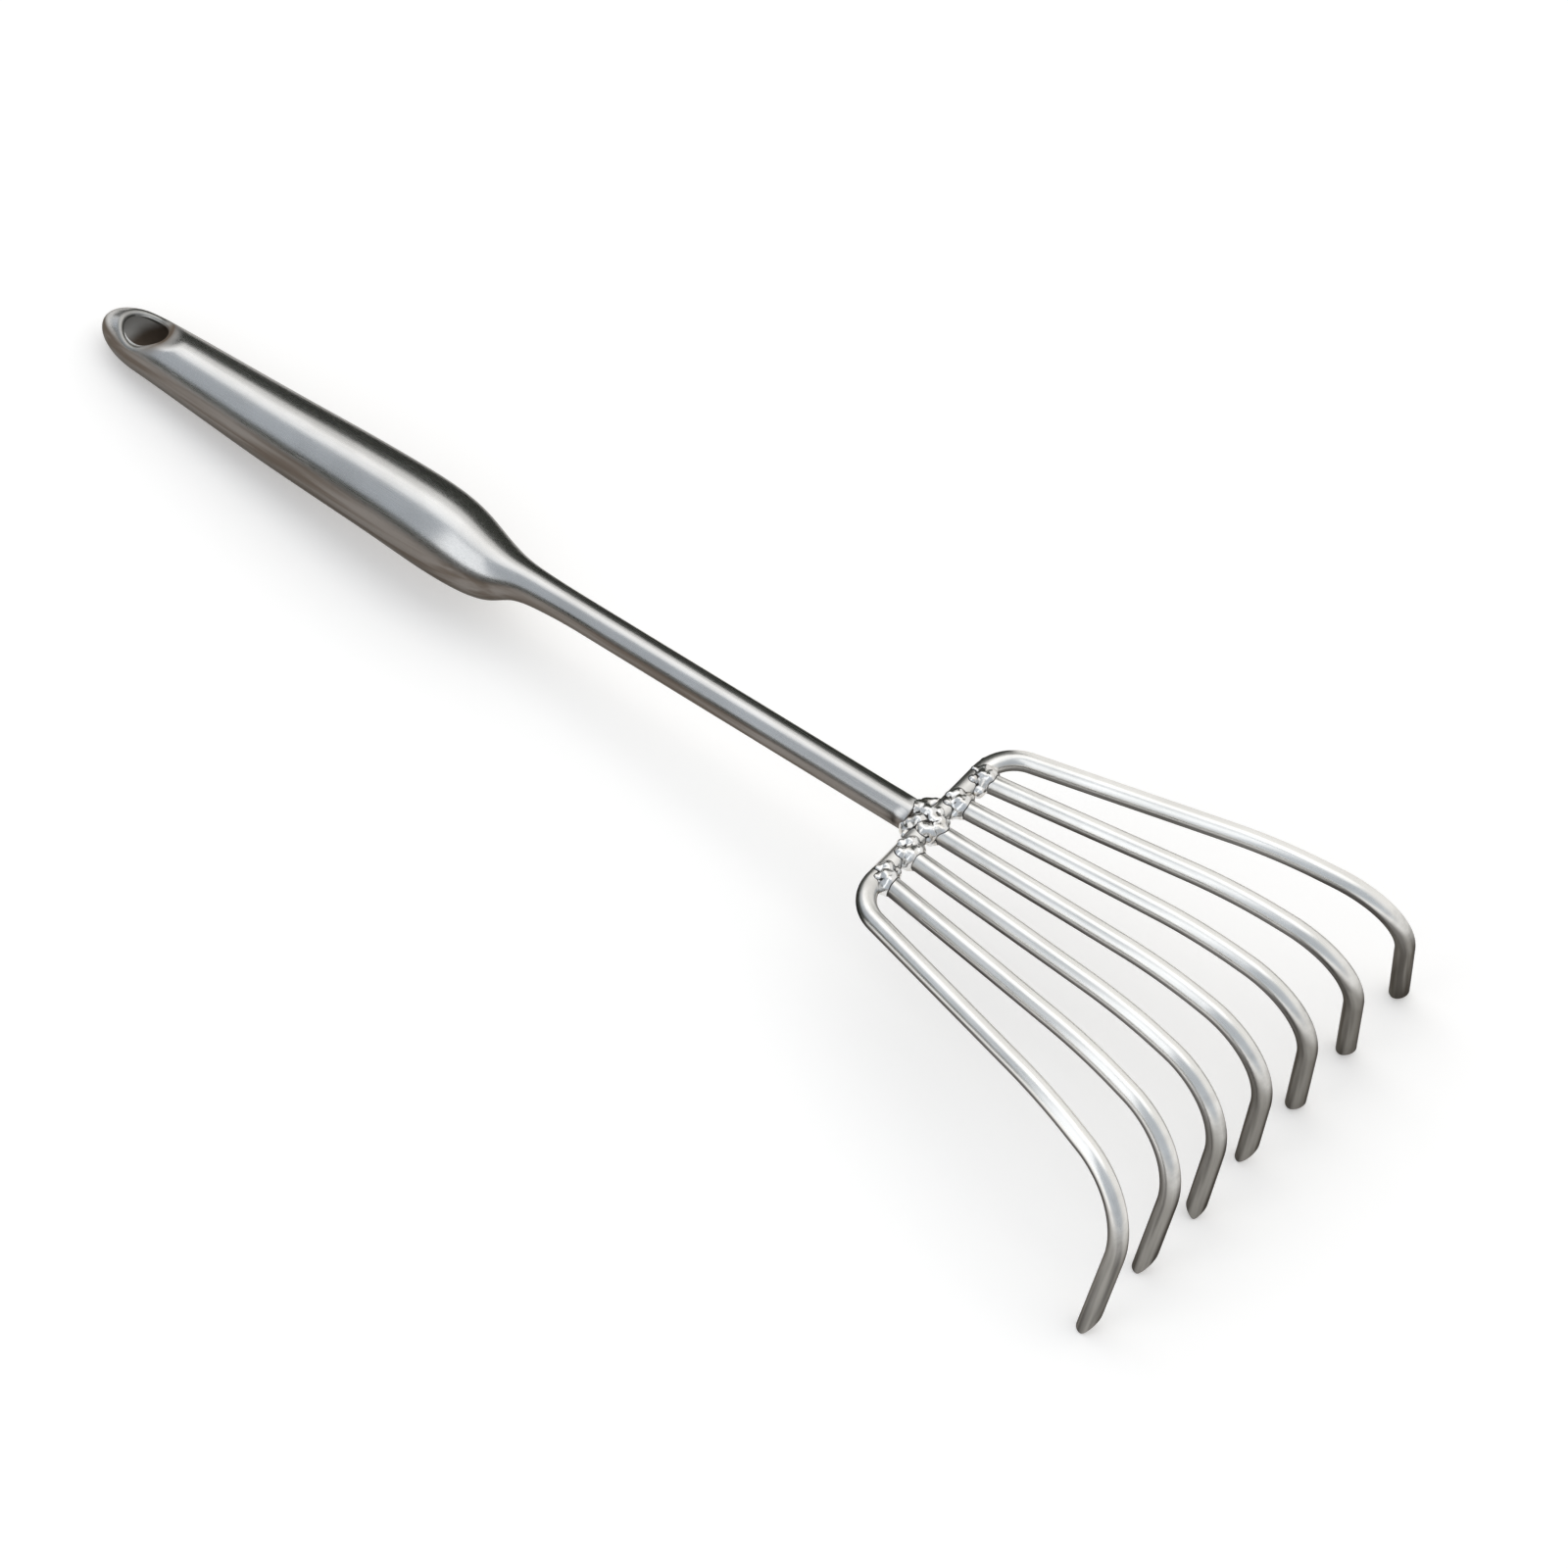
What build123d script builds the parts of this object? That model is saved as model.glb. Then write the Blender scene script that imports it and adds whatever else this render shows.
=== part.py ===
from build123d import *
import os
from math import asin, atan, cos, degrees, hypot, pi, radians, sin, tan

# One-hand garden rake in stainless steel: a swaged tube is grip and shaft in one, welded to a head
# of seven round tines. It lies as it rests on the ground, on its tips and its nose.
# Lengths in millimetres, angles in degrees. X runs from the nose to the tines, +Y is the left side.

# Shaft tube: the handle's reach runs from the nose's tip to the crossbar's centre, and weld fills the gap
handle_reach = 292.0
shaft_diameter = 9.5
shaft_bore = 5.5
shaft_gap = 2.0

# Nose of the grip, a half ellipsoid with an oval hanging eye in its top
nose_length = 17.5
nose_diameter = 17.2
nose_lift = 2.4
nose_wall = 4.6
grip_wall = 1.5
eye_at = 15.3
eye_length = 13.8
eye_width = 10.6
eye_rounding = 1.2

# Grip sections: distance from the nose's tip, diameter, and lift of the centre above the shaft line
palm_at = 62.0
palm_diameter = 21.4
palm_lift = 1.1
crest_at = 110.0
crest_diameter = 24.6
crest_lift = 0.5
belly_at = 131.0
belly_diameter = 23.1
belly_lift = -1.9
shoulder_at = 143.0
shoulder_diameter = 17.3
shoulder_lift = -3.6
throat_at = 150.5
throat_diameter = 12.4
throat_lift = -1.5
neck_at = 160.0
neck_swell = 0.7
neck_lift = -0.4
shaft_start = 174.0
grip_steps = 24

# Tines, one round rod size throughout: each fans out from its root, and weld fills the gap at its end
rod_diameter = 5.8
root_pitch = 10.8
inner_fan = 4.2
middle_fan = 8.5
outer_fan = 14.2
outer_splay = 10.7
corner_radius = 11.5
tine_gap = 1.5

# Bends of every tine: a shallow set, then the knee down to an upright leg
set_reach = 78.5
set_angle = 13.4
set_radius = 110.0
knee_reach = 38.5
knee_radius = 25.0
leg_length = 50.4

# Tips, level with the ground and ground to a bevel at the front
tip_land = 2.6
tip_bevel = 56.0
tip_rounding = 0.5

# Weld beads: rings of lumps that bite into the edges they join and slump towards the crossbar
tine_lump = 1.8
tine_lumps = 8
hub_lump = 2.1
hub_lumps = 10
saddle_spread = 3.0
lump_bite = 0.5
lump_phase = 0.25
lump_slump = 0.9

rod_radius = rod_diameter / 2
shaft_radius = shaft_diameter / 2
nose_radius = nose_diameter / 2

# Side view of a tine in the plane of the shaft: the knee, seen from the crossbar's centre
knee_x = set_reach + knee_reach * cos(radians(set_angle))
knee_z = -knee_reach * sin(radians(set_angle))
nose_x = nose_length - handle_reach


def nose_support(tilt):
    """Depth of the nose's lowest point below the nose's centre, at this tilt."""
    return hypot(nose_length * sin(tilt), nose_radius * cos(tilt))


def nose_overhang(tilt):
    """Reach of the nose's hindmost point behind the nose's centre, at this tilt."""
    return hypot(nose_length * cos(tilt), nose_radius * sin(tilt))


# Tilt at which tips and nose touch the ground together, found by repeated substitution
rest_tilt = 0.0
for _ in range(12):
    rise = leg_length + (nose_lift - knee_z) * cos(rest_tilt) - nose_support(rest_tilt)
    rest_tilt = asin(rise / (knee_x - nose_x))

# The tool's own plane: its centre is the crossbar's, its X axis is the shaft line
front_reach = knee_x * cos(rest_tilt) - knee_z * sin(rest_tilt) + rod_radius
rear_reach = nose_x * cos(rest_tilt) - nose_lift * sin(rest_tilt) - nose_overhang(rest_tilt)
crossbar_x = -(front_reach + rear_reach) / 2
crossbar_z = leg_length - knee_x * sin(rest_tilt) - knee_z * cos(rest_tilt)
tool = Plane(
    origin=(crossbar_x, 0, crossbar_z),
    x_dir=(cos(rest_tilt), 0, sin(rest_tilt)),
    z_dir=(-sin(rest_tilt), 0, cos(rest_tilt)),
)
side_view = Plane(origin=tool.origin, x_dir=tool.x_dir, z_dir=-tool.y_dir)


def in_tool(along, left, up):
    """Point given in the tool's own plane: along the shaft line, to the left and up."""
    return tool.from_local_coords(Vector(along, left, up))


def square_to_shaft(along):
    """Plane square to the shaft line at this distance past the crossbar's centre."""
    return Plane(origin=in_tool(along, 0, 0), x_dir=tool.y_dir, z_dir=tool.x_dir)


# Grip sections from the nose's end to the shaft: station, outer and inner diameter, lift
taper = (palm_diameter - nose_diameter) / 2 / (palm_at - nose_length)
blend_angle = atan(taper * nose_length / nose_radius)
tail_at = nose_length * (1 - sin(blend_angle))
tail_diameter = nose_diameter * cos(blend_angle)
grip_sections = [
    (tail_at, tail_diameter, tail_diameter - 2 * grip_wall, nose_lift),
    (palm_at, palm_diameter, palm_diameter - 2 * grip_wall, palm_lift),
    (crest_at, crest_diameter, crest_diameter - 2 * grip_wall, crest_lift),
    (belly_at, belly_diameter, belly_diameter - 2 * grip_wall, belly_lift),
    (shoulder_at, shoulder_diameter, shoulder_diameter - 2 * grip_wall, shoulder_lift),
    (throat_at, throat_diameter, throat_diameter - 2 * grip_wall, throat_lift),
    (neck_at, shaft_diameter + neck_swell, shaft_bore + neck_swell, neck_lift),
    (shaft_start, shaft_diameter, shaft_bore, 0.0),
]


def side_curve(side, diameter_index):
    """Side view of the grip's crown (side 1) or belly (side -1), level with the taper and the shaft."""
    points = [
        (section[0] - handle_reach, section[3] + side * section[diameter_index] / 2)
        for section in grip_sections
    ]
    return Spline(points, tangents=[(1, side * taper), (1, 0)])


def round_sections(diameter_index):
    """Planes and radii of the circles that span the crown and the belly."""
    crown = side_curve(1, diameter_index)
    belly = side_curve(-1, diameter_index)
    sections = []
    for step in range(grip_steps + 1):
        top = crown @ (step / grip_steps)
        bottom = belly @ (step / grip_steps)
        middle = (top + bottom) / 2
        rise = top - bottom
        forward = tool.x_dir * rise.Y - tool.z_dir * rise.X
        plane = Plane(origin=in_tool(middle.X, 0, middle.Y), x_dir=tool.y_dir, z_dir=forward)
        sections.append((plane, rise.length / 2))
    return sections


shaft_end = -rod_radius - shaft_gap
shaft_length = shaft_end - (shaft_start - handle_reach)
nose_line = Axis(in_tool(nose_x, 0, nose_lift), tool.x_dir)
eye_floor = Plane(
    origin=in_tool(eye_at - handle_reach, 0, nose_lift),
    x_dir=tool.x_dir,
    z_dir=tool.z_dir,
)


def above_eye_floor(edge):
    """Whether both ends of an edge lie above the floor of the eye's cut."""
    return all(eye_floor.to_local_coords(edge @ end).Z > eye_rounding for end in (0, 1))


# Handle tube: lofted grip, revolved nose and drawn shaft, hollow throughout
with BuildPart() as handle_tube:
    for plane, radius in round_sections(1):
        with BuildSketch(plane):
            Circle(radius)
    loft()
    # The nose is drawn from below, so that its seam stays clear of the eye
    with BuildSketch(side_view):
        with BuildLine():
            bow = EllipticalCenterArc(
                (nose_x, nose_lift),
                nose_length,
                nose_radius,
                start_angle=180,
                arc_size=90 - degrees(blend_angle),
            )
            Polyline(bow @ 0, (tail_at - handle_reach, nose_lift), bow @ 1)
        make_face()
    revolve(axis=nose_line)
    with BuildSketch(square_to_shaft(shaft_start - handle_reach)):
        Circle(shaft_radius)
    extrude(amount=shaft_length)
    with BuildSketch(eye_floor):
        Ellipse(eye_length / 2, eye_width / 2)
    extrude(amount=nose_diameter, mode=Mode.SUBTRACT)
    fillet(handle_tube.edges(Select.LAST).filter_by(above_eye_floor), eye_rounding)
    for plane, radius in round_sections(2):
        with BuildSketch(plane):
            Circle(radius)
    loft(mode=Mode.SUBTRACT)
    with BuildSketch(side_view):
        with BuildLine():
            bow = EllipticalCenterArc(
                (tail_at - handle_reach, nose_lift),
                tail_at - nose_wall,
                tail_diameter / 2 - grip_wall,
                start_angle=90,
                arc_size=90,
            )
            Polyline(bow @ 0, (tail_at - handle_reach, nose_lift), bow @ 1)
        make_face()
    revolve(axis=nose_line, mode=Mode.SUBTRACT)
    with BuildSketch(square_to_shaft(shaft_start - handle_reach)):
        Circle(shaft_bore / 2)
    extrude(amount=shaft_length, mode=Mode.SUBTRACT)
handle_tube.part.label = "handle_tube"


def tine_points(root, fan, splay, start=0.0):
    """Start, set, knee and tip of one tine that fans out from its root; its leg splays and is overlong."""
    spread = tan(radians(fan))
    knee_y = root + spread * (set_reach + knee_reach)
    leg = leg_length + rod_diameter
    leg_y = knee_y + tan(radians(splay)) * leg
    return [
        in_tool(start, root + spread * start, 0),
        in_tool(set_reach, root + spread * set_reach, 0),
        in_tool(knee_x, knee_y, knee_z),
        in_tool(knee_x - leg * sin(rest_tilt), leg_y, knee_z - leg * cos(rest_tilt)),
    ]


bends = [set_radius, knee_radius]
ground = Plane.XY
bevel_start = crossbar_x + front_reach - rod_diameter + tip_land
bevel_plane = Plane(
    origin=(bevel_start, 0, 0),
    x_dir=(0, 1, 0),
    z_dir=(cos(radians(tip_bevel)), 0, -sin(radians(tip_bevel))),
)

# Outer tine frame: crossbar and both outer tines bent from one rod
left_side = tine_points(3 * root_pitch, outer_fan, outer_splay)
right_side = tine_points(-3 * root_pitch, -outer_fan, -outer_splay)
with BuildPart() as outer_tine_frame:
    with BuildLine() as frame_line:
        FilletPolyline(
            *reversed(left_side),
            *right_side,
            radius=[*reversed(bends), corner_radius, corner_radius, *bends],
        )
    with BuildSketch(Plane(origin=frame_line.line @ 0, x_dir=-tool.x_dir, z_dir=frame_line.line % 0)):
        Circle(rod_radius)
    sweep()
    split(bisect_by=ground, keep=Keep.TOP)
    split(bisect_by=bevel_plane, keep=Keep.BOTTOM)
    fillet(outer_tine_frame.faces().filter_by(GeomType.PLANE).edges(), tip_rounding)
outer_tine_frame.part.label = "outer_tine_frame"


def inner_tine(root, fan):
    """One of the five tines that are welded to the front of the crossbar."""
    with BuildPart() as tine:
        with BuildLine() as tine_line:
            FilletPolyline(*tine_points(root, fan, fan, rod_radius + tine_gap), radius=bends)
        with BuildSketch(Plane(origin=tine_line.line @ 0, x_dir=-tool.z_dir, z_dir=tine_line.line % 0)):
            Circle(rod_radius)
        sweep()
        split(bisect_by=ground, keep=Keep.TOP)
        split(bisect_by=bevel_plane, keep=Keep.BOTTOM)
        tip_faces = tine.faces().filter_by(GeomType.PLANE).sort_by(Axis.Z)[:2]
        fillet(tip_faces.edges(), tip_rounding)
    return tine.part


inner_tines = {
    "left_middle": (2 * root_pitch, middle_fan),
    "left_inner": (root_pitch, inner_fan),
    "centre": (0.0, 0.0),
    "right_inner": (-root_pitch, -inner_fan),
    "right_middle": (-2 * root_pitch, -middle_fan),
}
tines = {name: inner_tine(root, fan) for name, (root, fan) in inner_tines.items()}


def lump_ring(along, left, slump, radius, lumps):
    """Centres of a ring of lumps around a joint, moved along by the slump at its top and bottom."""
    turns = [2 * pi * (lump + lump_phase) / lumps for lump in range(lumps)]
    return [
        in_tool(along + slump * abs(sin(turn)), left + radius * cos(turn), radius * sin(turn))
        for turn in turns
    ]


def tine_weld(root, fan, tine):
    """Filler between the crossbar and one tine: a plug inside a ring of lumps."""
    spread = tan(radians(fan))
    middle = rod_radius + tine_gap / 2
    run = Plane(origin=in_tool(0, root, 0), z_dir=tool.x_dir + tool.y_dir * spread)
    ring = lump_ring(middle, root + spread * middle, -lump_slump, rod_radius - lump_bite, tine_lumps)
    with BuildPart() as weld:
        with BuildSketch(run):
            Circle(rod_radius - lump_bite)
        extrude(amount=rod_radius + tine_gap)
        with Locations(*ring):
            Sphere(tine_lump)
        add(outer_tine_frame.part, mode=Mode.SUBTRACT)
        add(tine, mode=Mode.SUBTRACT)
    return weld.part


welds = {
    name: tine_weld(root, fan, tines[name])
    for name, (root, fan) in inner_tines.items()
    if name != "centre"
}

# Hub weld: joins the shaft, the crossbar and the centre tine, and runs over and under the crossbar
hub_front = rod_radius + tine_gap / 2
hub_back = shaft_end + shaft_gap / 2
saddle_height = rod_radius - lump_bite
with BuildPart() as hub_weld:
    with BuildSketch(square_to_shaft(shaft_end)):
        Circle(shaft_radius - lump_bite)
    extrude(amount=-shaft_end)
    with BuildSketch(square_to_shaft(0)):
        Circle(rod_radius - lump_bite)
    extrude(amount=rod_radius + tine_gap)
    with Locations(*lump_ring(hub_front, 0, -lump_slump, rod_radius - lump_bite, tine_lumps)):
        Sphere(tine_lump)
    with Locations(*lump_ring(hub_back, 0, lump_slump, shaft_radius - lump_bite, hub_lumps)):
        Sphere(hub_lump)
    for left in (-saddle_spread, 0, saddle_spread):
        with Locations(in_tool(0, left, saddle_height), in_tool(0, left, -saddle_height)):
            Sphere(hub_lump)
    with BuildSketch(square_to_shaft(shaft_end)):
        Circle(shaft_radius)
    extrude(amount=-shaft_length, mode=Mode.SUBTRACT)
    add(outer_tine_frame.part, mode=Mode.SUBTRACT)
    add(tines["centre"], mode=Mode.SUBTRACT)
hub_weld.part.label = "hub_weld"

os.makedirs("parts", exist_ok=True)
export_step(handle_tube.part, "parts/handle_tube.step")
export_step(outer_tine_frame.part, "parts/outer_tine_frame.step")
for name, part in tines.items():
    part.label = f"tine_{name}"
    export_step(part, f"parts/tine_{name}.step")
for name, part in welds.items():
    part.label = f"weld_{name}"
    export_step(part, f"parts/weld_{name}.step")
export_step(hub_weld.part, "parts/hub_weld.step")
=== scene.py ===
"""Dresses a one-hand garden rake: a swaged stainless tube welded to a head of seven round tines."""
import logging
from dataclasses import dataclass, field
from enum import Enum
from math import atan, cos, pi, radians, sin, tan
from typing import Any, Optional

import bmesh
import bpy
import numpy as np
from bpy.types import Material, Mesh, Node, NodeSocket, NodeTree, Object
from mathutils import Matrix, Vector
from numpy.random import Generator, default_rng


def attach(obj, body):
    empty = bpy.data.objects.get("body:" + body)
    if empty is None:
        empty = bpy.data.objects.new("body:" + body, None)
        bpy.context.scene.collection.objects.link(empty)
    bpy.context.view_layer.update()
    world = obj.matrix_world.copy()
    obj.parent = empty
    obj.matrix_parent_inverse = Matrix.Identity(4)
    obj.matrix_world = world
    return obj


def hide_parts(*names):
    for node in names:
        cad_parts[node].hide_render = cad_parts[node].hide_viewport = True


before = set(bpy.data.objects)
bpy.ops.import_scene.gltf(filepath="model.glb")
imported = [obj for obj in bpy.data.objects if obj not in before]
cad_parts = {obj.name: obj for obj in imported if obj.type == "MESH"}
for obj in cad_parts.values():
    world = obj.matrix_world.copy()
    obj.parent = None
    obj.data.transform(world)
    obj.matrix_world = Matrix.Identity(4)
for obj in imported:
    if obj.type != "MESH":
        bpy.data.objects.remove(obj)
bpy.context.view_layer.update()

MM = 0.001
SEED = 11
LOG = logging.getLogger("rake")


class Slot(Enum):
    """Material slots of the record."""

    SATIN = "satin_steel"
    WELD = "weld_steel"


class Side(Enum):
    """Sides of the rake, with the sign of their Y."""

    LEFT = 1
    RIGHT = -1


@dataclass(frozen=True)
class ToolPlane:
    """The tool's own plane, tilted as it rests: along the shaft, to the left and up, in millimetres."""

    along: float = 85.34496
    height: float = 43.56788
    tilt: float = radians(7.768113)

    def axes(self) -> np.ndarray:
        """The plane's three axes in the row frame, one in each row."""
        level, rise = cos(self.tilt), sin(self.tilt)
        return np.array([[level, 0, rise], [0, 1, 0], [-rise, 0, level]])

    def place(self, local: np.ndarray) -> np.ndarray:
        """Moves points of the tool's plane, in millimetres, to the row frame, in metres."""
        return (np.array([self.along, 0, self.height]) + np.asarray(local) @ self.axes()) * MM

    def local(self, points: np.ndarray) -> np.ndarray:
        """Moves points of the row frame, in metres, to the tool's plane, in millimetres."""
        return (np.asarray(points) / MM - np.array([self.along, 0, self.height])) @ self.axes().T


TOOL = ToolPlane()


class Wiring:
    """Adds nodes to a node tree and links them."""

    def __init__(self, tree: NodeTree) -> None:
        """Keeps the tree that is being wired."""
        self.tree = tree

    def node(self, kind: str, inputs: Optional[dict] = None, **settings: Any) -> Node:
        """Adds one node.

        Args:
            kind: The node's type name.
            inputs: Values or sockets for its inputs, by socket name or index.
            settings: Properties to set before the inputs.

        Returns:
            The new node.
        """
        made = self.tree.nodes.new(kind)
        for name, value in settings.items():
            setattr(made, name, value)
        for name, value in (inputs or {}).items():
            self.feed(made.inputs[name], value)
        return made

    def out(self, kind: str, inputs: Optional[dict] = None, socket: Any = 0, **settings: Any) -> NodeSocket:
        """Adds one node and gives its output of this name or index."""
        return self.node(kind, inputs, **settings).outputs[socket]

    def feed(self, socket: NodeSocket, value: Any) -> None:
        """Links a socket to another one, or sets its value.

        Args:
            socket: The socket that is fed.
            value: Another socket, or a value.
        """
        if isinstance(value, NodeSocket):
            self.tree.links.new(value, socket)
        else:
            socket.default_value = value

    def group(self, tree: NodeTree, inputs: dict) -> Any:
        """Places a shader group and gives its outputs."""
        return self.node("ShaderNodeGroup", inputs, node_tree=tree).outputs

    def attribute(self, name: str, socket: str = "Fac") -> NodeSocket:
        """An attribute of the piece in a material."""
        return self.out("ShaderNodeAttribute", socket=socket, attribute_name=name)

    def keep(self, shape: NodeSocket, name: str, value: NodeSocket, kind: str) -> NodeSocket:
        """A geometry that keeps this value as a point attribute."""
        inputs = {"Geometry": shape, "Name": name, "Value": value}
        return self.out("GeometryNodeStoreNamedAttribute", inputs, data_type=kind, domain="POINT")

    def math(self, operation: str, first: Any, second: Any) -> NodeSocket:
        """A Math node's result."""
        return self.out("ShaderNodeMath", {0: first, 1: second}, operation=operation)

    def add(self, first: Any, second: Any) -> NodeSocket:
        """The sum of two values."""
        return self.math("ADD", first, second)

    def times(self, first: Any, second: Any) -> NodeSocket:
        """The product of two values."""
        return self.math("MULTIPLY", first, second)

    def vector(self, operation: str, first: Any, second: Any) -> NodeSocket:
        """A Vector Math node's vector."""
        return self.out("ShaderNodeVectorMath", {0: first, 1: second}, "Vector", operation=operation)

    def scaled(self, vector: Any, factor: Any) -> NodeSocket:
        """A vector times a factor."""
        return self.out("ShaderNodeVectorMath", {0: vector, "Scale": factor}, operation="SCALE")

    def noise(self, vector: Any, scale: float, detail: float = 2.0, rough: float = 0.5) -> NodeSocket:
        """A noise texture's value at these coordinates."""
        inputs = {"Vector": vector, "Scale": scale, "Detail": detail, "Roughness": rough}
        return self.out("ShaderNodeTexNoise", inputs)

    def ramp(self, value: Any, low: Any, high: Any, to_low: float = 0.0, to_high: float = 1.0) -> NodeSocket:
        """Maps a value from one range to another, clamped and eased at both ends."""
        inputs = {"Value": value, "From Min": low, "From Max": high, "To Min": to_low, "To Max": to_high}
        return self.out("ShaderNodeMapRange", inputs, "Result", interpolation_type="SMOOTHSTEP")

    def mix(self, amount: Any, first: Any, second: Any) -> NodeSocket:
        """Mixes two colours.

        Args:
            amount: The second colour's share.
            first: A socket, or red, green and blue.
            second: The same.

        Returns:
            The mixed colour.
        """
        made = self.node("ShaderNodeMix", {0: amount}, data_type="RGBA")
        # A Mix node keeps its colour sockets after those for numbers and vectors.
        for socket, value in ((made.inputs[6], first), (made.inputs[7], second)):
            self.feed(socket, (*value, 1) if isinstance(value, tuple) else value)
        return made.outputs[2]


def new_group(name: str, kind: str, inputs: dict, outputs: dict) -> tuple:
    """Makes an empty node group.

    Args:
        name: The group's name.
        kind: The tree's type name.
        inputs: Socket types of its inputs, by name.
        outputs: Socket types of its outputs, by name.

    Returns:
        The group, its wiring, what it is given and what it has to give.
    """
    tree = bpy.data.node_groups.new(name, kind)
    for label, socket in inputs.items():
        tree.interface.new_socket(label, in_out="INPUT", socket_type=socket)
    for label, socket in outputs.items():
        tree.interface.new_socket(label, in_out="OUTPUT", socket_type=socket)
    wiring = Wiring(tree)
    return tree, wiring, wiring.node("NodeGroupInput").outputs, wiring.node("NodeGroupOutput").inputs


def new_shape_tree(name: str, inputs: dict) -> tuple:
    """An empty Geometry Nodes tree with these inputs and a finish, as new_group gives it."""
    shape = {"Geometry": "NodeSocketGeometry"}
    return new_group(name, "GeometryNodeTree", {**shape, **inputs, "Finish": "NodeSocketMaterial"}, shape)


def end_shape_tree(wiring: Wiring, shape: NodeSocket, given: Any, result: Any) -> None:
    """Ends a Geometry Nodes tree with real geometry in its finish.

    Args:
        wiring: The tree's wiring.
        shape: The geometry that it has made.
        given: What the tree is given.
        result: What it has to give.
    """
    shape = wiring.out("GeometryNodeRealizeInstances", {"Geometry": shape})
    shape = wiring.out("GeometryNodeSetMaterial", {"Geometry": shape, "Material": given["Finish"]})
    wiring.feed(result["Geometry"], shape)


@dataclass
class SurfaceGroups:
    """Shader effects that the finishes share, each built once.

    A layer of the drawn steel has a name, a stretch along and across the piece, a detail and a roughness.
    """

    drawn_layers: tuple = (
        ("Streaks", (70.0, 2400.0, 2400.0), 4.0, 0.65),
        ("Bands", (16.0, 380.0, 380.0), 2.0, 0.5),
        ("Clouds", (45.0, 80.0, 80.0), 4.0, 0.5),
        ("Waves", (34.0, 70.0, 70.0), 1.0, 0.5),
    )
    scratch_stretch: tuple = (90.0, 5200.0, 5200.0)
    scratch_turns: tuple = (0.5, -0.9)
    scratch_lean: float = 0.6
    scratch_line: tuple = (0.66, 0.74)
    patch_scale: float = 120.0
    ragged_scale: float = 160.0
    ragged_height: float = 0.016
    drawn: NodeTree = field(init=False)
    scratched: NodeTree = field(init=False)
    low_cover: NodeTree = field(init=False)

    def __post_init__(self) -> None:
        """Builds the groups."""
        self.drawn = self.drawn_steel()
        self.scratched = self.fine_scratches()
        self.low_cover = self.soil_tarnish()

    def drawn_steel(self) -> NodeTree:
        """Builds lengthwise polishing streaks, cloudy tone and slight waves of drawn steel.

        Returns:
            The group.
        """
        outputs = {layer[0]: "NodeSocketFloat" for layer in self.drawn_layers}
        tree, wiring, given, result = new_group(
            "Drawn steel", "ShaderNodeTree", {"Vector": "NodeSocketVector"}, outputs
        )
        for label, stretch, detail, rough in self.drawn_layers:
            place = wiring.vector("MULTIPLY", given["Vector"], stretch)
            wiring.feed(result[label], wiring.noise(place, 1.0, detail, rough))
        return tree

    def fine_scratches(self) -> NodeTree:
        """Builds thin crossing scratches in patches.

        Returns:
            The group.
        """
        tree, wiring, given, result = new_group(
            "Fine scratches",
            "ShaderNodeTree",
            {"Vector": "NodeSocketVector", "Cover": "NodeSocketFloat"},
            {"Mask": "NodeSocketFloat"},
        )
        lines = []
        for turn in self.scratch_turns:
            inputs = {
                "Vector": given["Vector"],
                "Rotation": (turn, turn, self.scratch_lean * turn),
                "Scale": self.scratch_stretch,
            }
            turned = wiring.out("ShaderNodeMapping", inputs, vector_type="POINT")
            lines.append(wiring.ramp(wiring.noise(turned, 1.0, detail=1.0), *self.scratch_line))
        patches = wiring.noise(given["Vector"], self.patch_scale)
        shown = wiring.math("GREATER_THAN", patches, wiring.math("SUBTRACT", 1.0, given["Cover"]))
        wiring.feed(result["Mask"], wiring.times(wiring.math("MAXIMUM", *lines), shown))
        return tree

    def soil_tarnish(self) -> NodeTree:
        """Builds a cover that grows towards the ground, with a broken edge.

        Returns:
            The group.
        """
        tree, wiring, given, result = new_group(
            "Low ragged cover",
            "ShaderNodeTree",
            {"Vector": "NodeSocketVector", "Top": "NodeSocketFloat", "Bottom": "NodeSocketFloat"},
            {"Mask": "NodeSocketFloat"},
        )
        height = wiring.out("ShaderNodeSeparateXYZ", {0: given["Vector"]}, "Z")
        ragged = wiring.noise(given["Vector"], self.ragged_scale, detail=4.0, rough=0.6)
        level = wiring.math("SUBTRACT", height, self.ragged_height / 2)
        level = wiring.add(level, wiring.times(ragged, self.ragged_height))
        wiring.feed(result["Mask"], wiring.ramp(level, given["Top"], given["Bottom"]))
        return tree


def blank_material(name: str) -> tuple:
    """Makes a material without nodes.

    Args:
        name: Its name.

    Returns:
        The material and its wiring.
    """
    made = bpy.data.materials.new(name)
    made.use_nodes = True
    made.node_tree.nodes.clear()
    return made, Wiring(made.node_tree)


def end_metal(wiring: Wiring, height: NodeSocket, inputs: dict) -> None:
    """Ends a metal's wiring with its relief, the shader and the output.

    Args:
        wiring: The material's wiring.
        height: The relief in metres.
        inputs: Values or sockets for the shader.
    """
    bump = wiring.out("ShaderNodeBump", {"Height": height, "Distance": 1.0, "Strength": 1.0}, "Normal")
    metal = wiring.out("ShaderNodeBsdfPrincipled", {**inputs, "Normal": bump})
    wiring.node("ShaderNodeOutputMaterial", {"Surface": metal})


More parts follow.
